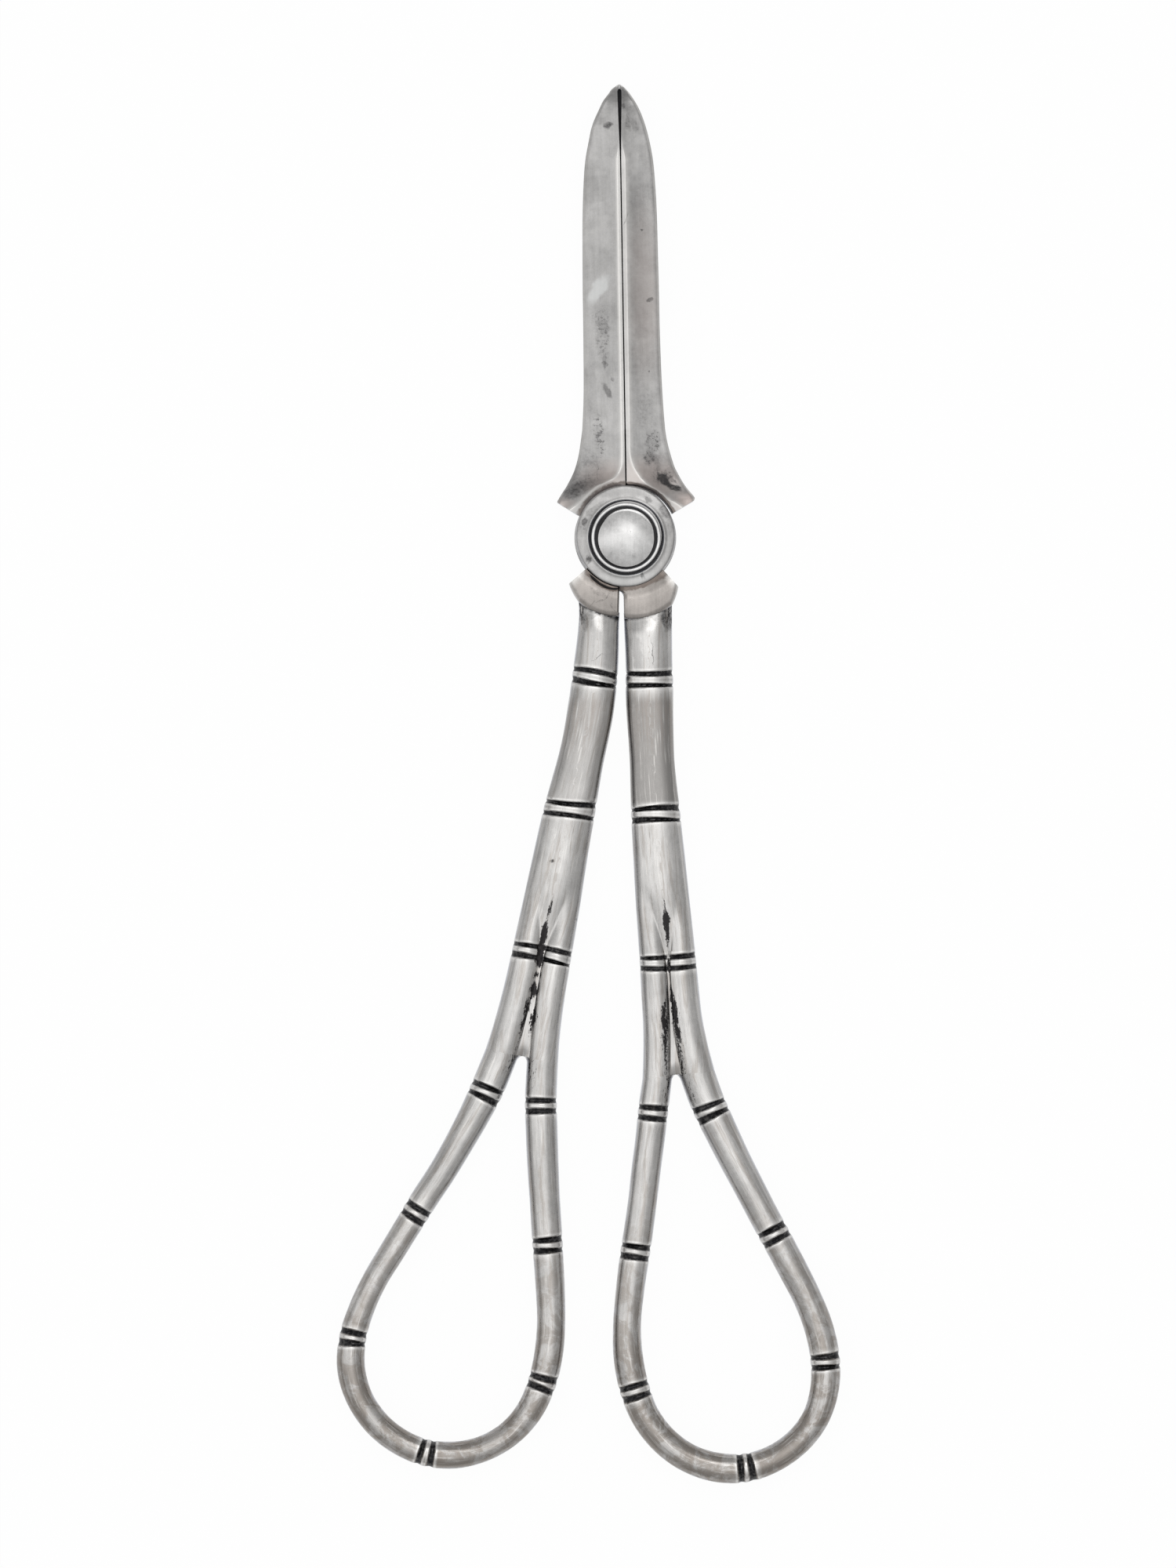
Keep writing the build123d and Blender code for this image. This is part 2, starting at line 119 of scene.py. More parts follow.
class Shell:
    """Points and faces of one piece. A point carries two values for the material, standing for soot and stains
    and for painted highlight and shadow, and its place on the grain.
    """

    def __init__(self):
        self.points, self.faces = [], []

    def add_point(self, point, groove=0, web=0, flow=STILL):
        self.points.append((point, groove, web, flow))
        return len(self.points) - 1

    def add_grid(self, rows, closed=False):
        """Rows of points joined by quads; returns their indices."""
        ids = [[self.add_point(point[:3], *point[3:]) for point in row] for row in rows]
        self.join(ids, closed)
        return ids

    def join(self, ids, closed=False):
        for a, b in zip(ids, ids[1:]):
            count = len(a)
            for j in range(count if closed else count - 1):
                k = (j + 1) % count
                self.faces.append((a[j], a[k], b[k], b[j]))

    def close(self, top, under):
        """Join an upper and a lower sheet; the wall by the pivot changes radius only at the lap plane."""
        high, low = self.add_grid(top), self.add_grid(under)
        high_rim, low_rim = [row[0] for row in high], [row[0] for row in low]
        rims = []
        for ids, z in ((high_rim, LAP + LAP_STEP), (low_rim, LAP - LAP_STEP)):
            points = [self.points[i] for i in ids]
            rims.append([self.add_point((*point[:2], z), groove, web) for point, groove, web, flow in points])
        self.join([high_rim, *rims, low_rim])
        self.join([[row[-1] for row in high], [row[-1] for row in low]])
        for end in (0, -1):
            a, b = high[end], low[end]
            self.join([a[1:], b[1:]])
            self.faces.append((a[0], a[1], b[1], b[0], rims[1][end], rims[0][end]))

    def revolve(self, profile, shift):
        """Turn a profile of (radius, z) round an upright axis; shift gives a ring's x, y and ovalness."""
        rows = []
        for r, z in profile:
            dx, dy, oval = shift(r, z)
            turns = [2 * pi * i / TURN_STEPS for i in range(TURN_STEPS)]
            wide, high = (1 - oval) * r, (1 + oval) * r
            rows.append([(dx + wide * cos(turn), dy + high * sin(turn), z) for turn in turns])
        self.add_grid(rows, closed=True)
        return self

    def build(self, name, sharp):
        """Make the mesh; edges turned by more than sharp degrees stay hard."""
        mesh = bpy.data.meshes.new(name)
        points, grooves, webs, flows = zip(*self.points)
        mesh.from_pydata([(x * MM, y * MM, z * MM) for x, y, z in points], [], self.faces)
        for key, values in (("groove", grooves), ("web", webs)):
            mesh.attributes.new(key, "FLOAT", "POINT").data.foreach_set("value", values)
        flow = mesh.attributes.new("flow", "FLOAT_VECTOR", "POINT")
        flow.data.foreach_set("vector", [part for value in flows for part in value])
        work = bmesh.new()
        work.from_mesh(mesh)
        bmesh.ops.remove_doubles(work, verts=work.verts, dist=MERGE)
        bmesh.ops.dissolve_degenerate(work, edges=work.edges, dist=MERGE / 10)
        bmesh.ops.recalc_face_normals(work, faces=work.faces)
        work.to_mesh(mesh)
        work.free()
        mesh.polygons.foreach_set("use_smooth", [True] * len(mesh.polygons))
        mesh.set_sharp_from_angle(angle=radians(sharp))
        return place_object(name, mesh)


class Net:
    """A node tree, and short ways to fill it."""

    def __init__(self, owner):
        owner.use_nodes = True
        self.nodes, self.links = owner.node_tree.nodes, owner.node_tree.links
        self.nodes.clear()

    def add(self, kind, *values, settings=None, **named):
        """Add a node and return its outputs. Values or outputs go to its sockets by order or by name."""
        node = self.nodes.new("ShaderNode" + kind)
        for setting, value in (settings or {}).items():
            setattr(node, setting, value)
        for key, value in dict(enumerate(values), **named).items():
            if isinstance(value, bpy.types.NodeSocket):
                self.links.new(value, node.inputs[key])
            elif value is not None:
                node.inputs[key].default_value = value
        return node.outputs

    def math(self, kind, value, *others, clamp=False):
        for other in others:
            value = self.add("Math", value, other, settings={"operation": kind, "use_clamp": clamp})[0]
        return value

    def times(self, *values):
        return self.math("MULTIPLY", *values)

    def plus(self, *values):
        return self.math("ADD", *values)

    def vector(self, kind, *values, **named):
        return self.add("VectorMath", *values, settings={"operation": kind}, **named)

    def reach(self, vector):
        """Length of a vector seen from above."""
        return self.vector("LENGTH", self.vector("MULTIPLY", vector, (1, 1, 0))[0])["Value"]

    def mapped(self, vector, scale, turn=0, move=STILL, kind="POINT"):
        settings, spin = {"vector_type": kind}, (0, 0, radians(turn))
        return self.add("Mapping", vector, move, spin, (*scale, 1), settings=settings)[0]

    def ramp(self, value, low, high, out_low=0, out_high=1):
        smooth = {"interpolation_type": "SMOOTHSTEP"}
        return self.add("MapRange", value, low, high, out_low, out_high, settings=smooth)[0]

    def noise(self, vector, scale, detail, roughness, distortion=0, output="Fac"):
        sockets = {"Scale": scale, "Detail": detail, "Roughness": roughness, "Distortion": distortion}
        return self.add("TexNoise", vector, **sockets)[output]

    def layer(self, name, output="Fac"):
        """Values that a piece's points carry."""
        return self.add("Attribute", settings={"attribute_name": name})[output]

    def blend(self, share, a, b):
        """From colour a to colour b; the colours' sockets come after five of other kinds."""
        return self.add("Mix", share, *[None] * 5, a, b, settings={"data_type": "RGBA"})[2]


# Tones of the silver, of wear and dirt, and of painted light and shade
BLADE_TONE = (0.386, 0.38, 0.374)
HANDLE_TONE = (0.478, 0.47, 0.46)
BOLSTER_TONE = (0.335, 0.311, 0.292)
PIVOT_TONE = (0.66, 0.655, 0.648)
TARNISH_AND_SHADOW_TONE = (0.046, 0.045, 0.046)
STEEL_TONE = (0.36, 0.36, 0.365)
WARM_CAST = (1.07, 0.955, 0.91)
PAINTED_WALL_SHADE = (0.155, 0.158, 0.172)
RIM_LIGHT = (0.6, 0.62, 0.68)
PIT = (0.06, 0.058, 0.06)
SCRATCH = (0.12, 0.12, 0.125)
DARK_MARK = (0.045, 0.043, 0.044)
PALE_MARK = (0.56, 0.57, 0.565)
PAINTED_HIGHLIGHT = (0.66, 0.648, 0.628)
SHADOW = (0.1, 0.078, 0.066)
PAINTED_BLACK_SHADOW = (0.014, 0.013, 0.013)
LONG_GRAIN = (0.285, 0.254, 0.226)
SHORT_GRAIN = (0.14, 0.128, 0.12)
PAINTED_STEM_SHADE = (0.268, 0.259, 0.25)
BROWN_STEM = (0.255, 0.222, 0.2)
BROWN_LOOP = (0.17, 0.148, 0.13)
WARM_LOOP = (0.29, 0.262, 0.236)
WISP = (0.66, 0.64, 0.615)
LIP_HIGHLIGHT = (0.66, 0.65, 0.635)
SOOT = (0.02, 0.02, 0.022, 1)
DUST = (0.085, 0.083, 0.082, 1)
TORN = (0.032, 0.03, 0.031)


def make_silver(name, tone, warm=(), marks=(), handle=False, rough=0.33, grain=1, edge=0.42, stem_shade=0):
    """Worn silver, with painted light and shade. Edge is the share of painted shade on steep walls; the stem's
    share is how much painted shade the flatter stretch of a handle's stem gets.
    """
    material = bpy.data.materials.new(name)
    net = Net(material)
    add, ramp, noise, times, plus = net.add, net.ramp, net.noise, net.times, net.plus
    place = add("TexCoord")["Object"]

    def tint(other, *shares):
        """Lay another tone over the colour so far."""
        nonlocal colour
        colour = net.blend(times(*shares), colour, (*other, 1))

    # Cloudy tone, from wear and old polish
    cloud = noise(place, 260, 5, 0.62, 0.6)
    fine = noise(place, 1700, 4, 0.7)
    grains = noise(place, 9000, 2, 0.6)
    broad = noise(place, 95, 3, 0.55, 0.4)
    calm = 0.45 if handle else 1
    shade = plus(
        ramp(cloud, 0.3, 0.7, -0.13 * calm, 0.1 * calm),
        ramp(fine, 0.25, 0.75, -0.09 * grain, 0.07 * grain),
        ramp(broad, 0.32, 0.68, -0.1, 0.09),
        ramp(grains, 0.25, 0.75, -0.06 * grain, 0.06 * grain),
    )
    if not handle:
        brushed = noise(net.mapped(place, (2600, 120)), 1, 4, 0.7)
        shade = plus(shade, ramp(brushed, 0.3, 0.7, -0.055, 0.045))
    shade = plus(shade, 1)
    colour = add("CombineColor", *[times(shade, part) for part in tone])[0]

    # Places warped by up to a millimetre, for spots with ragged edges
    ragged = net.vector("SUBTRACT", noise(place, 900, 4, 0.5, output="Color"), (0.5, 0.5, 0.5))[0]
    warped = net.vector("ADD", place, net.vector("SCALE", ragged, Scale=1.3 * MM)[0])[0]

    def spot(x, y, half_width, half_height, turn, inner=0.55, outer=1.15):
        scale, move = (half_width * MM, half_height * MM), (x * MM, y * MM, 0)
        return ramp(net.reach(net.mapped(warped, scale, turn, move, "TEXTURE")), inner, outer, 1, 0)

    # Warm casts, off the disc only
    off_disc = ramp(net.reach(place), 6.3 * MM, 6.7 * MM)
    for *where, strength in warm:
        cast = [part * share for part, share in zip(tone, WARM_CAST)]
        tint(cast, spot(*where, 0, 0.2, 1.2), strength, off_disc)

    # Painted shade on steep walls, then fine pits and short scratches
    normal = add("NewGeometry")["Normal"]
    upright = net.math("ABSOLUTE", add("SeparateXYZ", normal)["Z"], 0)
    steep = ramp(upright, 0.9, 0.25)
    tint(PAINTED_WALL_SHADE, steep, edge)
    cells = add("TexVoronoi", warped, Scale=1500)["Distance"]
    tint(PIT, ramp(cells, 0.1, 0), ramp(noise(place, 700, 2, 0.6), 0.55, 0.68), 0.55)
    scratches = noise(net.mapped(place, (9000, 500), 24), 1, 1, 0.5)
    tint(SCRATCH, ramp(scratches, 0.66, 0.76), 0.13)

    # The marks seen on this piece
    porous = noise(place, 2600, 5, 0.75)
    for *where, strength, holes in marks:
        mask = spot(*where)
        if holes:
            mask = times(mask, ramp(porous, 0.52 - 0.12 * (1 - holes), 0.6, 1 - holes, 1))
        tint(PALE_MARK if strength < 0 else DARK_MARK, mask, abs(strength))

    # Painted pale reflection on walls that face sideways
    tint(RIM_LIGHT, ramp(upright, 0.52, 0.16), 0.8)
    roughness = plus(ramp(fine, 0.3, 0.7, rough - 0.05, rough + 0.07), times(steep, 0.08))
    height = plus(times(fine, 0.35), times(grains, 0.12))
    groove, web = net.layer("groove"), net.layer("web")
    if handle:
        # Grain along the cane
        flow = net.layer("flow", "Vector")
        long_grain = noise(net.mapped(flow, (0.11, 1.15)), 1, 4, 0.65, 0.5)
        short_grain = noise(net.mapped(flow, (0.38, 6.5)), 1, 5, 0.75, 0.3)
        wisps = noise(net.mapped(flow, (0.16, 3.2), move=(31, 17, 0)), 1, 3, 0.6, 0.2)
        tint(LONG_GRAIN, ramp(long_grain, 0.5, 0.64), 0.5)
        tint(SHORT_GRAIN, ramp(short_grain, 0.52, 0.7), 0.4)

        # Painted shade on the flatter stretch of the stem, and brown parts, by place down the y axis
        down = add("SeparateXYZ", place)["Y"]
        stem = times(ramp(down, -19.5 * MM, -21.5 * MM), ramp(down, -35 * MM, -33.5 * MM))
        tint(PAINTED_STEM_SHADE, stem, stem_shade)
        tint(BROWN_STEM, stem, ramp(down, -30 * MM, -24 * MM), ramp(wisps, 0.42, 0.62), 0.46)
        mottled = ramp(noise(place, 430, 5, 0.7, 0.8), 0.36, 0.62)
        tint(BROWN_LOOP, ramp(down, -86 * MM, -112 * MM), ramp(mottled, 0, 1, 0.25, 1), 0.78)
        tint(WARM_LOOP, ramp(down, -74 * MM, -94 * MM), ramp(mottled, 0.2, 0.9, 0, 0.36))
        tint(WISP, ramp(wisps, 0.46, 0.3), 0.46)

        # Soot in the grooves, painted shadow along the bolster's lower edge, and a painted highlight on the
        # lips beside the grooves
        filth = noise(place, 2400, 4, 0.7)
        soot_and_shadow = net.math("MULTIPLY", groove, ramp(filth, 0.25, 0.72, 1.35, 0.72), clamp=True)
        tint(LIP_HIGHLIGHT, ramp(groove, -0.03, -0.45), ramp(filth, 0.25, 0.6, 0.45, 0.85))
        colour = net.blend(ramp(soot_and_shadow, 0.16, 0.66), colour, net.blend(ramp(filth, 0.42, 0.7), SOOT, DUST))

        # The torn, pitted web
        torn = ramp(noise(net.mapped(flow, (0.55, 2.4)), 1, 6, 0.78, 0.4), 0.34, 0.66, -0.74, 0.22)
        crumbs = ramp(noise(place, 3200, 4, 0.7), 0.3, 0.7, -0.22, 0.22)
        stain = times(ramp(plus(web, torn, crumbs), 0.26, 0.56), ramp(web, 0.02, 0.22))
        tint(TORN, stain)
        height = net.math("SUBTRACT", height, times(stain, 0.9))
        roughness = plus(roughness, times(stain, 0.25))
    else:
        # Painted highlight on lands and edges, painted shadow in the gaps by the discs, black where that shadow
        # is deepest
        tint(PAINTED_HIGHLIGHT, groove, ramp(fine, 0.2, 0.6, 0.75, 1))
        tint(SHADOW, ramp(plus(web, ramp(fine, 0.25, 0.75, -0.25, 0.22)), 0.15, 0.8), 0.8)
        tint(PAINTED_BLACK_SHADOW, ramp(web, 1.1, 1.55))
    relief = 0.11 if handle else 0.16
    bump = add("Bump", Strength=relief, Distance=0.06 * MM, Height=height)[0]
    metal = add("BsdfPrincipled", colour, Metallic=1, Roughness=roughness, Normal=bump)[0]
    add("OutputMaterial", metal)
    return material


# Warm casts: x, y, half width, half height, strength.
# Marks: x, y, half width, half height, turn, strength (below zero is paler), porosity.
LEFT_WARM = ((-2.2, 7, 4.6, 3, 0.8), (-8, 4.2, 2, 1, 0.6))
LEFT_MARKS = (
    (-2.7, 25.3, 1, 3.2, 4, 0.56, 0.8), (-2.5, 26.6, 0.7, 1.3, 4, 0.26, 0.2),
    (-2.15, 18.3, 0.42, 1.2, 27, 0.58, 0.2), (-3.3, 12.8, 0.75, 3.3, 6, 0.7, 0.9),
    (-3, 31.5, 1, 2.4, -38, -0.55, 0), (-1.55, 52.3, 0.62, 0.5, 10, 0.85, 0.35),
    (-0.7, 55.6, 1.1, 1.9, -30, 0.22, 0.3), (-1.9, 53.6, 0.9, 1.6, -28, 0.14, 0.3),
    (-2.6, 52.8, 1, 0.6, 20, 0.2, 0.3), (-5.6, 6.4, 2.2, 1.1, 38, 0.42, 0.5),
    (-5.2, 1.8, 0.42, 0.62, 0, 0.8, 0.3), (-5, -2.9, 0.36, 0.66, 10, 0.85, 0.3),
    (2, -5.2, 0.26, 0.38, 0, 0.85, 0.2), (4.75, 2.95, 0.55, 1.2, 35, 0.6, 0.45),
    (2.8, 4.55, 0.85, 0.3, -32, 0.7, 0.3), (-4.1, 3.5, 0.3, 1.7, -50, 0.34, 0.5),
    # The first two marks on the next line are painted shade on the disc's upper flange and painted light on its
    # lower flange
    (0, 5.6, 5.4, 0.95, 0, 0.21, 0), (0, -5.6, 5.6, 1.1, 0, -0.2, 0), (-5.55, 1.2, 0.5, 1.3, -10, 0.45, 0.75),
    # The third mark on the next line, a broad soft dark one over the shoulder facets, is painted shade
    (5.4, 1, 0.35, 1.6, 8, 0.3, 0.6), (-4, 45, 1.1, 3.6, -6, 0.16, 0.1), (-4.9, 8, 3, 2.4, 38, 0.36, 0.3),
    (-6.9, 6.7, 1.8, 1.3, 40, 0.26, 0.5), (-4.6, 10.2, 1.6, 1.5, 0, 0.22, 0.6),
    (-6.6, 5.9, 2.1, 0.8, 32, 0.4, 0.4), (-3.6, 8.6, 0.05, 1.6, 0, 0.5, 0.2),
    (-1.35, 19.8, 0.25, 0.45, 10, 0.45, 0.4), (-2.4, 22.2, 0.3, 0.9, 0, 0.6, 0.5),
    (-2.9, 27.8, 1.5, 1.2, 0, 0.3, 0.85), (-7, 5.4, 1.2, 0.7, 25, 0.3, 0.4),
    (-4.3, 19.5, 0.8, 5.5, 0, 0.16, 0.4), (-3.4, 38.5, 1.4, 2.4, 10, 0.13, 0.1),
)
front_silver = make_silver("front_blade_silver", BLADE_TONE, edge=0.2, warm=LEFT_WARM, marks=LEFT_MARKS)
RIGHT_WARM = ((2.8, 7.2, 6, 3.4, 0.8), (7.8, 4.3, 2.2, 1.6, 0.95), (2.6, 31, 2.6, 13, 0.42))
RIGHT_MARKS = (
    (2.6, 39, 0.24, 0.24, 0, 0.7, 0), (3.4, 30.1, 0.45, 0.28, 20, 0.7, 0.3), (1, 52.6, 0.32, 1.2, 6, 0.5, 0.4),
    (0.9, 55.4, 1.2, 2, 30, 0.36, 0.3), (2.1, 52.9, 1.1, 2.6, 24, 0.28, 0.3),
    (0.55, 54.7, 0.3, 0.35, 0, 0.5, 0.3), (1.9, 52.4, 0.55, 0.9, 12, 0.32, 0.4),
    (3.5, 12, 1.1, 1.6, 0, 0.8, 0.7), (3, 10.2, 0.9, 1, 0, 0.7, 0.75), (2.9, 9.9, 0.9, 1, 0, 0.55, 0.6),
    (3.9, 9.6, 0.6, 1.4, 20, 0.34, 0.2), (2.6, 16, 1.6, 3, 0, 0.22, 0.75), (3.2, 20.9, 0.14, 0.14, 0, 0.6, 0),
    (2.4, 25.8, 1.2, 1, 0, 0.16, 0.4), (4.3, 7.6, 1, 1.2, 25, 0.45, 0.6), (5, 7, 1.15, 0.66, -42, 1, 0.15),
    (4.6, 7.6, 0.9, 0.22, -38, 0.9, 0.2), (5.6, 6.6, 1.4, 0.2, -38, 0.9, 0.2),
    (6, 7.1, 0.9, 0.14, -48, 0.6, 0.4), (6.1, 6, 1.25, 0.42, -20, 0.95, 0.25), (5.2, 7.6, 1, 0.7, 60, 0.6, 0.7),
    # The second mark on the next line, a broad soft dark one over the shoulder facets, is painted shade
    (3.2, 48, 0.9, 2.4, 12, 0.2, 0.2), (4.4, 8.4, 2.4, 2.6, -38, 0.32, 0.25),
    (3.9, 43.5, 0.5, 2.2, 8, 0.26, 0.5), (2.7, 33, 2.3, 8.5, 0, 0.15, 0.15), (2.2, 44, 1.4, 3, -8, 0.15, 0.1),
    (1, 22, 0.5, 5, 0, 0.12, 0.5), (0.5, 40.3, 0.1, 0.9, -18, 0.8, 0),
)
back_silver = make_silver("back_blade_silver", BLADE_TONE, edge=0.2, warm=RIGHT_WARM, marks=RIGHT_MARKS)
CANE_LOOK = {"handle": True, "grain": 0.6, "rough": 0.22}
FRONT_CANE_MARKS = (
    (4.9, -10.7, 0.75, 1.7, 8, 0.85, 0.35), (3, -14.9, 0.07, 1.8, 3, 0.6, 0.1),
    (3.4, -10.4, 2.6, 0.4, -6, 0.35, 0.5), (0.9, -14.5, 0.7, 3.8, 5, 0.26, 0.1),
)
front_cane = make_silver(
    "front_handle_silver", HANDLE_TONE, stem_shade=1, marks=FRONT_CANE_MARKS, **CANE_LOOK
)
BACK_CANE_MARKS = (
    (-4, -15.5, 0.9, 0.06, 35, 0.5, 0), (-10.24, -41.16, 0.42, 0.38, 0, 0.92, 0),
    (-7.1, -48.8, 0.18, 0.18, 0, 0.6, 0), (-5.2, -10.2, 2.4, 0.4, 14, 0.3, 0.5),
    (-5.5, -10.9, 0.5, 1.4, 10, 0.5, 0.45),
)
back_cane = make_silver(
    "back_handle_silver", HANDLE_TONE, stem_shade=0.46, marks=BACK_CANE_MARKS, **CANE_LOOK
)
BOLSTER_MARKS = (
    (-3.9, -7, 1.6, 0.35, -28, 0.3, 0.7), (5.6, -4.4, 0.3, 1.3, 30, 0.25, 0.3),
    (-3.8, -8.3, 3, 1.7, -14, 0.13, 0.35), (-3.2, -7.9, 1.4, 0.05, 28, 0.45, 0.3),
    (-4.6, -8.6, 0.05, 0.9, -30, 0.4, 0.3), (-2, -9.2, 0.05, 0.8, 40, 0.4, 0.3),
)
bolster_silver = make_silver("bolster_silver", BOLSTER_TONE, edge=0.1, grain=1.1, marks=BOLSTER_MARKS)
PIVOT_MARKS = (
    (0.8, -2.6, 0.45, 0.35, 0, 0.16, 0.6), (0.3, 0.6, 0.14, 0.14, 0, 0.4, 0),
    # The next mark is painted shadow in the gap at the dome's upper right
    (2.9, 1.9, 0.55, 1.5, 38, 0.42, 0.7),
)
pivot_silver = make_silver("pivot_silver", PIVOT_TONE, rough=0.38, marks=PIVOT_MARKS)
tarnish_and_shadow = make_silver("tarnish_and_shadow_silver", TARNISH_AND_SHADOW_TONE, rough=0.55, grain=1.5)
screw_steel = make_silver("screw_steel", STEEL_TONE, rough=0.36)


# Blades: place down from the tip, and how far out the edge stands
LEFT_EDGE = (
    (0, 0.1), (0.25, 0.52), (0.45, 0.82), (1.2, 1.4), (2, 2.02), (3.2, 2.64), (5.2, 3.55), (7.2, 4.02),
    (9.2, 4.43), (13.2, 4.8), (17.2, 4.97), (21.2, 5.04), (25.2, 5.09), (33.2, 5.13), (41.2, 5.28), (44, 5.46),
)
RIGHT_EDGE = (
    (0, 0.06), (0.2, 0.4), (0.8, 1), (2, 1.8), (3.2, 2.46), (5.2, 3.2), (7.2, 3.7), (9.2, 4.06), (13.2, 4.38),
    (17.2, 4.52), (21.2, 4.56), (25.2, 4.6), (33.2, 4.66), (41.2, 4.92), (44, 5.1),
)
TIP = 57.55
STRAIGHT = 44  # from the tip to where the bends begin

# Below the straight part: inner boundary, ridge and outer edge, (out, y) each, to the shoulder's lower side
LEFT_BEND = (
    (0, 0.1, 13.55, 0.45, 13.55, 5.46, 13.55), (1.2, 0.1, 12.4, 0.43, 12.4, 5.64, 12.4),
    (3.2, 0.1, 10.4, 0.44, 10.4, 5.98, 10.4), (4.9, 0.1, 8.9, 0.56, 8.8, 6.5, 8.6),
    (6, 0.1, 8, 0.92, 8, 6.92, 7.65), (6.9, 0.1, 7.2, 1.45, 7.42, 7.32, 6.92),
    (7.5, 0.1, 6.45, 1.95, 7.14, 7.54, 6.52), (8.2, 1, 6.28, 2.55, 6.86, 7.8, 6.12),
    (9.1, 2.1, 6, 3.2, 6.6, 8.06, 5.74), (10, 3.05, 5.58, 3.9, 6.18, 8.28, 5.4),
    (11, 3.92, 5.01, 4.66, 5.5, 8.48, 5.08), (12, 4.66, 4.33, 5.44, 4.74, 8.62, 4.84),
    (13, 5.3, 3.52, 6.32, 4.04, 8.74, 4.64), (14.2, 5.82, 2.56, 7.25, 3.36, 8.8, 4.42),
)
RIGHT_BEND = (
    (0, 0.1, 13.55, 0.56, 13.55, 5.1, 13.55), (1.2, 0.1, 12.4, 0.56, 12.4, 5.26, 12.4),
    (3.2, 0.1, 10.4, 0.58, 10.4, 5.72, 10.4), (4.9, 0.1, 8.9, 0.96, 8.85, 6.28, 8.6),
    (6, 0.1, 8, 1.38, 8.05, 6.75, 7.65), (6.9, 0.1, 7.15, 1.84, 7.34, 7.14, 6.92),
    (7.5, 0.16, 6.62, 2.16, 7, 7.38, 6.52), (8.2, 1.5, 6.46, 2.56, 6.62, 7.66, 6.12),
    (9.1, 2.7, 6.05, 3.16, 6.16, 7.94, 5.76), (10, 3.68, 5.5, 3.9, 5.64, 8.2, 5.44),
    (11, 4.52, 4.84, 4.72, 5.04, 8.44, 5.14), (12, 5.16, 4.15, 5.52, 4.5, 8.62, 4.9),
    (13, 5.64, 3.47, 6.32, 4.04, 8.72, 4.66), (14.2, 5.98, 2.84, 7.1, 3.48, 8.62, 4.36),
)
RIDGE_Z = LAP + 1.72
GROUND_SLOPE = 0.235
BLADE_BACK_Z = 1.02
RABBET_Z = 1.76
LAND_STEPS = (0, 0.12, 0.4, 0.66, 0.84, 0.94)
FACE_STEPS = (0.02, 0.045, 0.08, 0.14, 0.24, 0.38, 0.52, 0.66, 0.8, 0.92, 1)
CHAMFER_STEPS = (0.12, 0.5, 0.85, 1)


